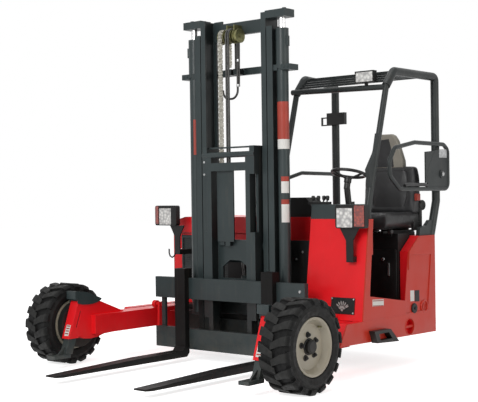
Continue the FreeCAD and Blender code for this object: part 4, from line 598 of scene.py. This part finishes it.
def keep_mesh(obj):
    """Take the result of an object's modifiers as its mesh."""
    shown = obj.evaluated_get(bpy.context.evaluated_depsgraph_get())
    mesh = bpy.data.meshes.new_from_object(shown)
    obj.modifiers.clear()
    obj.data = mesh


def arc(centre, across, up, radius, start, end, steps):
    """Places on an arc about a centre, in the plane of two directions; angles in degrees."""
    places = []
    for step in range(steps + 1):
        angle = math.radians(start + (end - start) * step / steps)
        places.append(centre + (across * math.cos(angle) + up * math.sin(angle)) * radius * MM)
    return places


def run(start, end, steps):
    """Places spread evenly between two places, both ends in."""
    return [start.lerp(end, step / steps) for step in range(steps + 1)]


# -------------------- chain and hoses

CHAIN_LOW, CHAIN_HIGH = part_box("lift_chain")
SHEAVE_X, SHEAVE_Z = -703, 2357
PLATE_HALF, PLATE_THICK = 6.2, 3.6
CHAIN_REACH = (CHAIN_HIGH[0] - CHAIN_LOW[0]) / 2 / MM - 6.5
CHAIN_MIDDLE = (CHAIN_LOW[1] + CHAIN_HIGH[1]) / 2 / MM
CHAIN_END_Z = CHAIN_LOW[2] / MM
CHAIN_PITCH = 19.05
# places along Y of the plates, in the rows of four and of five
PLATES = ((-12.7, -4.2, 4.2, 12.7), (-17, -8.5, 0, 8.5, 17))
PIN_RADIUS, PIN_LENGTH = 3.6, 43
BLOCK_Z = 2130


def link_row(solids, middle, ahead, across, wide):
    """One row of leaf plates with their pin, at a place of the chain; wide rows have five plates."""
    half = CHAIN_PITCH * 0.94
    for offset in PLATES[wide]:
        near = Y * (offset - PLATE_THICK / 2) * MM
        outline = []
        for end in (1, -1):
            for angle in (60, 0, -60):
                turn = math.radians(angle)
                reach = end * (half * 0.52 + PLATE_HALF * math.cos(turn))
                rise = end * PLATE_HALF * math.sin(turn)
                outline.append(middle + (ahead * reach + across * rise) * MM + near)
        solids.prism(outline, Y * PLATE_THICK)
    pin_end = middle + ahead * (CHAIN_PITCH / 2) * MM - Y * (PIN_LENGTH / 2) * MM
    solids.turned(pin_end, Y, [(PIN_RADIUS, 0), (PIN_RADIUS, PIN_LENGTH)], 8)


def straight(x, end_z):
    """Straight run of chain at one X, from the sheave's height down to an end."""
    solids = Solids()
    for step in range(int((SHEAVE_Z - end_z) / CHAIN_PITCH)):
        link_row(solids, at(x, CHAIN_MIDDLE, SHEAVE_Z - CHAIN_PITCH * (step + 0.5)), Z, X, step % 2)
    return solids


def chain():
    """Leaf chain: down to the carriage, over its sheave, and back to the fixed stage."""
    x = SHEAVE_X + CHAIN_REACH
    front = straight(x, CHAIN_END_Z).piece("chain_front_run", "mast_inner", "chain_steel", CHAIN)
    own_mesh(front)

    top = Solids()
    turns = 6
    for step in range(turns):
        angle = math.radians(180 * (step + 0.5) / turns)
        out = X * math.cos(angle) + Z * math.sin(angle)
        link_row(top, at(SHEAVE_X, CHAIN_MIDDLE, SHEAVE_Z) + out * CHAIN_REACH * MM,
                 Z * math.cos(angle) - X * math.sin(angle), out, step % 2)
    top = top.piece("chain_top", "mast_inner", "chain_steel", CHAIN)
    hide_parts("lift_chain")

    x = SHEAVE_X - CHAIN_REACH
    rear = straight(x, BLOCK_Z).piece("chain_rear_run", "", "chain_steel", CHAIN)
    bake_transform(rear)


HOSE_YS = (-47, -26)
HOSE_REACH = 53.1
HOSE_RADIUS = 8
HOSE_END_Z = 890
# the hanging loop: its plane, its two runs, its lowest straight place and its bends
LOOP_X = -698
LOOP_YS = (18, -121)
LOOP_Z = 1968
LOOP_BEND = 60
CLIP_ZS = (2000, 2180)


def hoses():
    """Pair of hoses over the middle sheave, and the third one that hangs in a loop."""
    front, top, rear, ends = Solids(), Solids(), Solids(), Solids()
    fore, back = SHEAVE_X + HOSE_REACH, SHEAVE_X - HOSE_REACH
    for y in HOSE_YS:
        low = at(fore, y, HOSE_END_Z)
        front.tube(run(low, at(fore, y, SHEAVE_Z), 24), HOSE_RADIUS)
        top.tube(arc(at(SHEAVE_X, y, SHEAVE_Z), X, Z, HOSE_REACH, 0, 180, 16), HOSE_RADIUS)
        rear.tube(run(at(back, y, BLOCK_Z), at(back, y, SHEAVE_Z), 12), HOSE_RADIUS)
        ends.turned(low, Z, [(11, 0), (11, 22), (9.6, 24), (9.6, 46), (8.6, 48)], 12)
        ends.turned(low, Z, [(12.5, 0), (12.5, 12)], 6)
    front = front.piece("hose_front_runs", "mast_inner", "black_paint", HOSE)
    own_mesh(front)
    ends.piece("hose_ends", "carriage", "cylinder_rod", ZINC)
    rear = rear.piece("hose_rear_runs", "", "black_paint", HOSE)
    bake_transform(rear)
    y_in, y_out = LOOP_YS
    path = run(at(LOOP_X, y_in, SHEAVE_Z - 52), at(LOOP_X, y_in, LOOP_Z), 12)
    path += arc(at(LOOP_X, y_in - LOOP_BEND, LOOP_Z), Y, Z, LOOP_BEND, 0, -90, 8)[1:]
    path += arc(at(LOOP_X, y_out + LOOP_BEND, LOOP_Z), Y, Z, LOOP_BEND, -90, -180, 8)[1:]
    path.append(at(LOOP_X, y_out, 1975))
    top.tube(path, HOSE_RADIUS)
    top.tube(run(at(LOOP_X, 38, SHEAVE_Z - 46), at(LOOP_X, 34, 2010), 8), 5)
    top = top.piece("hose_tops", "mast_inner", "black_paint", HOSE)
    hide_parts("mast_hoses")
    bands = Solids()
    for z in CLIP_ZS:
        bands.turned(at(LOOP_X, 24, z - 9), Z, [(12.5, 0), (13.5, 2), (13.5, 16), (12.5, 18)], 18)
    bands.piece("hose_clips", "mast_inner", "cylinder_rod", ZINC)


chain()
hoses()

# -------------------- wheels

DISC_FACE = 60
BOLT_CIRCLE, NUTS = 74, 5
VALVE_CIRCLE, VALVE_ANGLE = 140, 2.2
TRACK_HALF = 1084
# name, body, X and Y of the wheel's middle, side of its nuts
WHEELS = (
    ("left", "front_left_wheel", 0, TRACK_HALF, 1), ("right", "front_right_wheel", 0, -TRACK_HALF, -1),
    ("rear", "rear_wheel", (REAR_AX - AX) / MM, 0, 1),
)


def wheel_trim():
    """Wheel nuts on their studs, the hub's seal ring and the tyre valve."""
    for name, body, x, y, side in WHEELS:
        nuts, valve = Solids(), Solids()
        out = Y * side
        hub = at(x, y + side * DISC_FACE, 0)
        for step in range(NUTS):
            angle = 2 * math.pi * (step + 0.15) / NUTS
            centre = hub + Vector((math.cos(angle), 0, math.sin(angle))) * BOLT_CIRCLE * MM + Z * AXLE_Z
            nuts.turned(centre, out, [(19, -0.5), (19, 3), (15.5, 6)], 18)
            nuts.turned(centre, out, [(13, 5), (13, 15), (11, 17)], 6, angle)
            nuts.turned(centre, out, [(7, 16), (7, 22), (6, 23)], 12)
        if name != "rear":
            nuts.turned(hub + Z * AXLE_Z, out, [(52, -0.5), (52, 4), (47, 7), (46, 7)], 32)
        nuts.piece(name + "_wheel_nuts", body, "black_paint", BLACK, 0.6)
        spoke = Vector((math.cos(VALVE_ANGLE), 0, math.sin(VALVE_ANGLE)))
        foot = at(x, y + side * 70, 0) + Z * AXLE_Z + spoke * VALVE_CIRCLE * MM
        profile = [(5, 0), (5, 12), (3.5, 14), (3.5, 24), (4.5, 25), (4.5, 30)]
        valve.turned(foot, out, profile, 12)
        valve.piece(name + "_tyre_valve", body, "cylinder_rod", BRASS)


wheel_trim()

# -------------------- bolts, labels and small fittings

# the front panel leans back by its run over its rise; its vent's middle is 96 mm up from its foot
PANEL_RUN, PANEL_RISE = 86, 678
SLOPE = math.atan2(PANEL_RUN, PANEL_RISE)
PANEL_OUT = Vector((math.cos(SLOPE), 0, math.sin(SLOPE)))
PANEL_UP = Vector((-math.sin(SLOPE), 0, math.cos(SLOPE)))
VENT = at(-743 - PANEL_RUN * 96 / PANEL_RISE, 868, 458)
# lift cylinders: X, the left one's Y and their radius; faces of the flank's sheet and of its skirt
CYLINDER_X, CYLINDER_Y, BARREL_RADIUS = -717, 414, 41
FLANK_Y, SKIRT_Y = 1040, 1034
BOLT_EDGE = 0.4


def bolts():
    """Bolt heads, gathered by the body that carries them."""
    chassis, carriage, mast, top, arm = Solids(), Solids(), Solids(), Solids(), Solids()
    for dy in (-86, 90):
        for up in (-46, 46):
            chassis.bolt(VENT + (Y * dy + PANEL_UP * up + PANEL_OUT * 5) * MM, PANEL_OUT, 5, 4)
    for y, z in ((373, 751), (431, 803), (300, 600), (520, 600)):
        chassis.bolt(at(-897, y, z), X, 7, 5)
    for y in (-1008, -984, -960):
        chassis.bolt(at(-1115, y, 783), X, 5, 4)
    for z in (1365, 1454):
        carriage.bolt(at(-597, -226, z), X, 7, 6)
    carriage.bolt(at(-557, 660, 557), X, 8, 7)
    for side in LEFT_RIGHT:
        for y in (458, 490):
            mast.bolt(at(-673, side * y, 2096), X, 6, 5)
        for z in (770, 390):
            mast.bolt(at(-835, side * 340, z), X * -1, 9, 7)
        for y in (330, 452):
            top.bolt(at(-690, side * y, 2500), Z, 7, 5)
    arm.bolt(at(-1731, 1088, 1347), Y, 13, 8)
    chassis.piece("body_bolts", "chassis", "cylinder_rod", ZINC, BOLT_EDGE)
    carriage.piece("carriage_bolts", "carriage", "cylinder_rod", ZINC, BOLT_EDGE)
    mast.piece("mast_bolts", "mast_outer", "slate_paint", SLATE, BOLT_EDGE)
    top.piece("rod_plate_bolts", "mast_inner", "slate_paint", SLATE, BOLT_EDGE)
    arm.piece("arm_bolts", "chassis", "cylinder_rod", ZINC, BOLT_EDGE)


def vent_fan():
    """Pale louvre of the front vent: two tiers of slats that fan out from its foot."""
    fan = Solids()
    foot = VENT + (PANEL_UP * -28 + PANEL_OUT * 3.2) * MM
    for tier, (low, high, half) in enumerate(((10, 34, 3.6), (33, 62, 4.4))):
        for step in range(-3, 4):
            lean = math.radians(step * 20 + (10 if tier else 0) * (1 if step < 3 else 0))
            ahead = PANEL_UP * math.cos(lean) + Y * math.sin(lean)
            across = PANEL_UP * -math.sin(lean) + Y * math.cos(lean)
            ends = (low, low + 6, high - 7, high, high - 7, low + 6)
            outline = zip(ends, (0, half, half, 0, -half, -half))
            fan.prism([foot + (ahead * a + across * b) * MM for a, b in outline], PANEL_OUT * 4)
    fan.turned(foot, PANEL_OUT, [(9, 0), (9, 4)], 16)
    fan.piece("vent_fan", "chassis", "slate_paint", LOUVRE, 0.6)


def wrap(solids, y, middle, half, low, high):
    """Thin label bent round a lift cylinder; its middle and half width are angles from the front."""
    axis = at(CYLINDER_X, y, low)
    outside = arc(axis, X, Y, BARREL_RADIUS + 0.7, middle - half, middle + half, 24)
    inside = arc(axis, X, Y, BARREL_RADIUS - 0.4, middle + half, middle - half, 24)
    solids.prism(outside + inside, Z * (high - low))


def labels():
    """Bare labels on the cylinders, legs, flank and arm, with the flank's cap and rings."""
    reds, whites = Solids(), Solids()
    wrap(reds, CYLINDER_Y, 35, 80, 1597, 1858)
    wrap(whites, CYLINDER_Y, 35, 80, 1529, 1597)
    wrap(reds, -CYLINDER_Y, 45, 28, 1516, 1778)
    for low, high in ((1019, 1179), (1223, 1338)):
        wrap(whites, CYLINDER_Y, 50, 42, low, high - 34)
        wrap(reds, CYLINDER_Y, 50, 42, high - 34, high)
    reds.piece("cylinder_red_bands", "mast_outer", "red_paint", STRIPE)
    whites.piece("cylinder_white_labels", "mast_outer", "cylinder_rod", LABEL)
    lean = math.radians(19)
    out, down = Vector((math.cos(lean), 0, math.sin(lean))), Vector((math.sin(lean), 0, -math.cos(lean)))
    for name, side in (("left", 1), ("right", -1)):
        white, strips, slot = Solids(), Solids(), Solids()
        corner = at(97, side * 885, 300) + (out * 40 + down * 12) * MM
        outline = ((0, -22), (80, -22), (80, 22), (0, 22))
        white.prism([corner + (down * a + Y * b) * MM for a, b in outline], out * 0.8)
        white.piece(name + "_leg_label", "chassis", "cylinder_rod", LABEL)
        for a in (4, 22, 40, 60):
            outline = ((a, -17), (a + 8, -17), (a + 8, 17), (a, 17))
            strips.prism([corner + (down * b + Y * c + out * 0.8) * MM for b, c in outline], out * 0.4)
        strips.piece(name + "_leg_label_bars", "chassis", "red_paint", STRIPE)
        slot.plate(side * 848, ((58, 398), (66, 398), (107, 282), (99, 282)), side * 1.8)
        slot.piece(name + "_leg_slot", "chassis", "black_paint", BLACK)
    flank, bars, dark, rings, silver = Solids(), Solids(), Solids(), Solids(), Solids()
    flank.plate(FLANK_Y, ((-858, 500), (-995, 492), (-995, 447), (-858, 453)), 0.8)
    flank.plate(SKIRT_Y, ((-1348, 524), (-1400, 522), (-1400, 446), (-1348, 448)), 0.8)
    flank.piece("flank_labels", "chassis", "cylinder_rod", LABEL)
    for low in (452, 486):
        bars.plate(FLANK_Y + 0.8, ((-862, low + 8), (-991, low), (-991, low - 5), (-862, low + 2)), 0.5)
    bars.piece("flank_label_bars", "chassis", "red_paint", STRIPE)
    dark.plate(SKIRT_Y, ((-1406, 521), (-1470, 519), (-1470, 438), (-1406, 441)), 1.2)
    cap = [(36, -1), (36, 7), (32, 11), (11, 11), (11, 6)]
    dark.turned(at(-1394, SKIRT_Y, 396), Y, cap, 28)
    dark.turned(at(-1394, SKIRT_Y + 6, 396), Y, [(8, 0), (8, 9), (6, 10)], 6)
    dark.piece("flank_cap", "chassis", "black_paint", BLACK, 0.6)
    rings.tube(arc(at(-1531, SKIRT_Y + 3, 398), X, Z, 41, 0, 350, 35), 6.5, 8, True)
    rings.tube(arc(at(-1327, SKIRT_Y + 6, 273), X, Z, 57, 0, 350, 35), 4, 8, True)
    rings.tube(arc(at(-1531, SKIRT_Y + 2, 398), X, Z, 20, 0, 345, 23), 3, 6, True)
    rings.piece("flank_rings", "chassis", "red_paint", RED)
    silver.plate(1076, ((-1700, 1527), (-1808, 1527), (-1808, 1466), (-1700, 1466)), 0.8)
    silver.piece("arm_label", "restraint_arm", "cylinder_rod", ZINC)


def pedestal_door():
    """Door in the front of the seat's box: its raised edge, latch, pull and lit sill."""
    door, trim, sill = Solids(), Solids(), Solids()
    door.box((-1310, -1304), (700, 950), (392, 812))
    door.piece("pedestal_door", "chassis", "black_paint", PLASTIC, 2)
    trim.bolt(at(-1304, 839, 743), X, 11, 7)
    trim.box((-1304, -1297), (881, 895), (626, 714))
    trim.piece("pedestal_latch", "chassis", "cylinder_rod", ZINC, 1.5)
    sill.box((-1290, -850), (1024, 1033), (368, 376))
    sill.piece("entry_sill", "chassis", "cylinder_rod", ZINC, 1)


BORDER = 16
SLATS, SLAT_PITCH = 25, 16.8


def engine_trim():
    """Cooler grille on the housing's front, with its border and middle strip, and the hood's seal."""
    border, slats, seal = Solids(), Solids(), Solids()
    left, right, low, high = -944, -406, 436, 894
    x = (-1117, -1108)
    border.box(x, (left, left + BORDER), (low, high))
    border.box(x, (right - BORDER, right), (low, high))
    border.box(x, (left + BORDER, right - BORDER), (high - BORDER, high))
    border.box(x, (left + BORDER, right - BORDER), (low, low + BORDER))
    border.box(x, (-793, -781), (low + BORDER, high - BORDER))
    border.piece("cooler_border", "chassis", "slate_paint", SLATE, 1.5)
    for step in range(SLATS):
        z = low + 24 + step * SLAT_PITCH
        for y in ((left + 20, -797), (-777, right - 20)):
            slats.box((-1117, -1112), y, (z, z + 7))
    slats.piece("cooler_slats", "chassis", "slate_paint", GUARD, 0.8)
    seal.box((-1137, -1121), (-1030, -400), (911, 918))
    seal.box((-1690, -1137), (-1030, -1014), (911, 918))
    seal.piece("hood_seal", "chassis", "tyre_rubber", HOSE, 1)


# X of the front face; Y of the housing, the clear lens, the marker lens and the stem; X of the foot's end
LAMPS = (
    (-735, (830, 1070), (841, 968), (985, 1064), 933, -800),
    (-930, (-1065, -833), (-1019, -892), (-1060, -1028), -840, -1116),
)
LAMP_DEPTH, POCKET_FLOOR = 45, 8
LAMP_Z, LENS_Z, MARKER_Z = (980, 1138), (987, 1116), (993, 1133)
BRACKET_HALF, STEM_HALF = 76, 28


def rounded(x, ys, zs, corner):
    """Rounded rectangle facing forward."""
    low_y, high_y, low_z, high_z = ys[0] + corner, ys[1] - corner, zs[0] + corner, zs[1] - corner
    centres = ((high_y, high_z, 0), (low_y, high_z, 90), (low_y, low_z, 180), (high_y, low_z, 270))
    places = []
    for y, z, start in centres:
        places += arc(at(x, y, z), Y, Z, corner, start, start + 90, 5)
    return places


def headlamps():
    """Rounded headlamp housings with pockets for their lenses, on tapered brackets and stems."""
    shells, pockets, stems, hook = Solids(), Solids(), Solids(), Solids()
    for front, body, clear, marker, middle, foot_end in LAMPS:
        rear = front - LAMP_DEPTH
        shells.prism(rounded(rear, body, LAMP_Z, 17), X * LAMP_DEPTH)
        pockets.prism(rounded(rear + POCKET_FLOOR, clear, LENS_Z, 5), X * LAMP_DEPTH)
        pockets.prism(rounded(rear + POCKET_FLOOR, marker, MARKER_Z, 5), X * LAMP_DEPTH)
        bracket = ((-BRACKET_HALF, 981), (BRACKET_HALF, 981), (STEM_HALF, 897), (-STEM_HALF, 897))
        stems.prism([at(rear + 20, middle + y, z) for y, z in bracket], X * 10)
        stem = (middle - STEM_HALF, middle + STEM_HALF)
        stems.box((rear + 20, rear + 30), stem, (753, 898))
        stems.box((foot_end, rear + 21), stem, (753, 790))
    shell = shells.piece("headlamp_housings", "", "black_paint", BLACK)
    tool = pockets.form("pockets")
    cut = shell.modifiers.new("pockets", "BOOLEAN")
    cut.object = tool
    cut.operation = "DIFFERENCE"
    keep_mesh(shell)
    bpy.data.objects.remove(tool)
    soft_edges(shell, 2.5)
    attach(shell, "chassis")
    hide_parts("headlamps")
    stems.piece("headlamp_stems", "chassis", "black_paint", BLACK, 1.2)
    bend = ((-860, 762), (-876, 740), (-898, 728), (-920, 738), (-930, 762), (-930, 795))
    hook.tube([at(-947, y, z) for y, z in bend], 6, 8)
    hook.piece("lamp_hook", "chassis", "black_paint", BLACK)


bolts()
vent_fan()
labels()
pedestal_door()
engine_trim()
headlamps()

# -------------------- seat

SEAT_Y = 733
VOXEL = 6.5
AIR_FRAMES, AIR_PRESSURE, AIR_STIFFNESS = 20, 4.0, 20.0


def soft_form(name, outline, half, corner):
    """Closed form pushed along Y from an outline of (x, z) points, rounded and remeshed finely."""
    form = Solids()
    form.prism([at(x, SEAT_Y - half, z) for x, z in outline], Y * (2 * half))
    obj = form.piece(name, "", "seat_vinyl", VINYL)
    round_off = obj.modifiers.new("round", "BEVEL")
    round_off.width = corner * MM
    round_off.segments = 4
    remesh = obj.modifiers.new("fine", "REMESH")
    remesh.mode = "VOXEL"
    remesh.voxel_size = VOXEL * MM
    keep_mesh(obj)
    return obj


def swell(obj, held, cap):
    """Fill a form with air by cloth simulation; held points stay, and no point moves past the cap."""
    rest = [vertex.co.copy() for vertex in obj.data.vertices]
    group = obj.vertex_groups.new(name="held")
    group.add([i for i, co in enumerate(rest) if held(co)], 1.0, "REPLACE")
    air = obj.modifiers.new("air", "CLOTH")
    air.settings.use_pressure = True
    air.settings.uniform_pressure_force = AIR_PRESSURE
    air.settings.effector_weights.gravity = 0.0
    air.settings.vertex_group_mass = "held"
    air.settings.tension_stiffness = AIR_STIFFNESS
    air.settings.compression_stiffness = AIR_STIFFNESS
    air.point_cache.frame_start = 1
    air.point_cache.frame_end = AIR_FRAMES
    for step in range(1, AIR_FRAMES + 1):
        bpy.context.scene.frame_set(step)
    keep_mesh(obj)
    for vertex, start in zip(obj.data.vertices, rest):
        move = vertex.co - start
        if move.length > cap * MM:
            vertex.co = start + move.normalized() * cap * MM
    bpy.context.scene.frame_set(1)
    obj.modifiers.clear()


def soften(obj):
    """One subdivision and smooth shading."""
    fine = obj.modifiers.new("fine", "SUBSURF")
    fine.levels = 1
    fine.render_levels = 1
    keep_mesh(obj)
    obj.data.polygons.foreach_set("use_smooth", [True] * len(obj.data.polygons))


def local(co):
    """A point of the seat in millimetres from the front axle, with Y from the seat's middle."""
    return (co.x - AX) / MM, co.y / MM - SEAT_Y, co.z / MM


BACK_LEAN = 30 / 340
PANEL_LOW, PANEL_TOP = 1110, 1385
PAD_BACK_X = -1640
# of the seams: half width of the band that the air can't lift, half width and depth of the groove
HELD_HALF, GROOVE_HALF, GROOVE_DEPTH = 4, 9, 7
# the cushion's seams: two at this distance from its middle, one across at this X
SEAM_Y, SEAM_X = 140, -1215
CORD_RADIUS = 3.2


def back_face_x(z):
    """X of the backrest's front face at a height."""
    return -1541 - (z - 1075) * BACK_LEAN


def seam_half(z):
    """Half width of the backrest's middle panel at a height."""
    return 150 - 26 * ((z - 1250) / 160) ** 2


def off_seam(y, z):
    """How far a point of the backrest is from the panel's side seams."""
    return abs(abs(y) - seam_half(z))


def backrest():
    """Backrest: wide bolsters round a piped middle panel."""
    low, top = 1062, 1404
    outline = [(back_face_x(low) - 8, low), (back_face_x(top) - 8, top), (PAD_BACK_X, top), (PAD_BACK_X, low)]
    obj = soft_form("seat_back_pad", outline, 222, 20)
    for vertex in obj.data.vertices:
        x, y, z = local(vertex.co)
        share = max(0.0, (z - 1280.0) / 124.0)
        vertex.co.y -= y * MM * 0.10 * share ** 2
        if x > PAD_BACK_X + 40 and off_seam(y, z) < GROOVE_HALF and PANEL_LOW < z < PANEL_TOP:
            vertex.co.x -= GROOVE_DEPTH * MM * (1 - off_seam(y, z) / GROOVE_HALF)

    def held(co):
        x, y, z = local(co)
        side = PANEL_LOW < z < PANEL_TOP and off_seam(y, z) < HELD_HALF
        cross = abs(y) < seam_half(z) and min(abs(z - PANEL_TOP), abs(z - PANEL_LOW)) < HELD_HALF
        return x < PAD_BACK_X + 6 or x > PAD_BACK_X + 40 and (side or cross)

    swell(obj, held, 9)
    soften(obj)
    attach(obj, "chassis")
    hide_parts("seat_back")
    return obj


def cushion():
    """Seat cushion: raised front roll, side bolsters and a piped middle."""
    low, top = 953, 1072
    outline = [(-1186, low), (-1178, top - 12), (-1200, top), (-1380, top - 8), (PAD_BACK_X, top - 4),
               (PAD_BACK_X, low)]
    obj = soft_form("seat_cushion_pad", outline, 218, 22)
    for vertex in obj.data.vertices:
        x, y, z = local(vertex.co)
        under = max(0.0, (1010.0 - z) / 57.0)
        vertex.co.y -= y * MM * (0.26 if y > 0 else 0.14) * under ** 2
        vertex.co.x -= (x + 1400) * MM * 0.10 * under ** 2

    def held(co):
        x, y, z = local(co)
        side = abs(abs(y) - SEAM_Y) < HELD_HALF and PAD_BACK_X + 40 < x < SEAM_X
        cross = abs(x - SEAM_X) < HELD_HALF and abs(y) < SEAM_Y
        return z < low + 5 or z > 1030 and (side or cross)

    swell(obj, held, 10)
    soften(obj)
    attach(obj, "chassis")
    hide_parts("seat_cushion")
    return obj


def lay_cord(solids, obj, line, push, closed=False):
    """Lay piping where lines from points along a direction meet an object."""
    places = []
    for point in line:
        hit, place = obj.ray_cast(obj.matrix_world.inverted() @ (point - push * 0.3), push)[:2]
        if hit:
            places.append(obj.matrix_world @ place - push * 0.5 * MM)
    if len(places) > len(line) / 2:
        solids.tube(places, CORD_RADIUS, 8, closed)


def piping():
    """Piping along the seams of the backrest and the cushion."""
    back, seat = backrest(), cushion()
    bpy.context.view_layer.update()
    cord = Solids()
    loop = []
    for side, start, end in ((1, 1118, 1378), (-1, 1378, 1118)):
        for step in range(17):
            z = start + (end - start) * step / 16
            loop.append(at(-1580, SEAT_Y + side * seam_half(z), z))
    lay_cord(cord, back, loop, X * -1, True)
    loop = [at(x, SEAT_Y + SEAM_Y, 1050) for x in range(-1590, -1229, 24)]
    loop += [at(SEAM_X, SEAT_Y + y, 1050) for y in range(128, -129, -32)]
    loop += [at(x, SEAT_Y - SEAM_Y, 1050) for x in range(-1230, -1591, -24)]
    lay_cord(cord, seat, loop, Z * -1)
    cord.piece("seat_piping", "chassis", "seat_vinyl", VINYL)


EXTENSION_Y = 690


def seat_extension():
    """Moulded extension above the backrest, with its dark recess."""
    shell = Solids()
    left = [(-150, 1395), (-147, 1450), (-96, 1600), (-70, 1636), (-46, 1648)]
    outline = left + [(-y, z) for y, z in left[::-1]]
    shell.prism([at(-1638, EXTENSION_Y + y, z) for y, z in outline], X * 50)
    shell.box((-1660, -1637), (SEAT_Y - 130, SEAT_Y + 110), (830, 1400))
    shell = shell.piece("seat_extension", "chassis", "taupe_plastic", TAUPE, 9)
    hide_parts("seat_shell")
    recess = Solids()
    outline = [(-92, 1404), (-92, 1500), (-48, 1606), (30, 1612), (62, 1500), (70, 1404)]
    recess.prism([at(-1588, EXTENSION_Y + y, z) for y, z in outline], X * 1.6)
    recess.piece("extension_recess", "chassis", "seat_vinyl", VINYL, 0.8)


def seat_fittings():
    """Adjusters and belt buckle, and the restraint arm's pad and the front corner of its plate."""
    knobs, buckle, pad, corner = Solids(), Solids(), Solids(), Solids()
    knobs.turned(at(-1560, 940, 1005), Y, [(26, -30), (30, -26), (30, 10), (24, 16)], 20)
    knobs.box((-1610, -1530), (936, 962), (940, 1006))
    knobs.turned(at(-1250, 940, 940), Y, [(14, -20), (16, -16), (16, 12), (12, 16)], 16)
    knobs.turned(at(-1646, 942, 1122), Y, [(34, -6), (38, 0), (38, 22), (33, 30)], 24)
    knobs.box((-1640, -1612), (945, 964), (950, 1110))
    knobs.piece("seat_adjusters", "chassis", "black_plastic", PLASTIC, 3)
    buckle.box((-1592, -1548), (955, 982), (1156, 1206))
    buckle.piece("belt_buckle", "chassis", "red_paint", STRIPE, 4)
    line = ((-1236, 1262), (-1250, 1268), (-1290, 1270), (-1400, 1270), (-1490, 1270), (-1520, 1268),
            (-1534, 1262))
    pad.tube([at(x, 1070, z) for x, z in line], 13, 14)
    pad.piece("arm_pad", "restraint_arm", "seat_vinyl", VINYL)
    corner.plate(1064.5, ((-1512, 1282), (-1512, 1504), (-1650, 1515), (-1560, 1380), (-1552, 1282)), 11)
    corner.piece("arm_plate_corner", "restraint_arm", "slate_paint", GUARD, 1)


def lever_knobs():
    """Knobs on the control levers."""
    knobs = Solids()
    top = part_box("control_levers")[1][2] / MM
    profile = [(6, -34), (11, -28), (14, -14), (13, -3), (8, 2)]
    for y in (508, 554, 601, 632):
        knobs.turned(at(-928, y, top), Z, profile, 16)
    knobs.piece("lever_knobs", "chassis", "black_plastic", PLASTIC)


piping()
seat_extension()
seat_fittings()
lever_knobs()
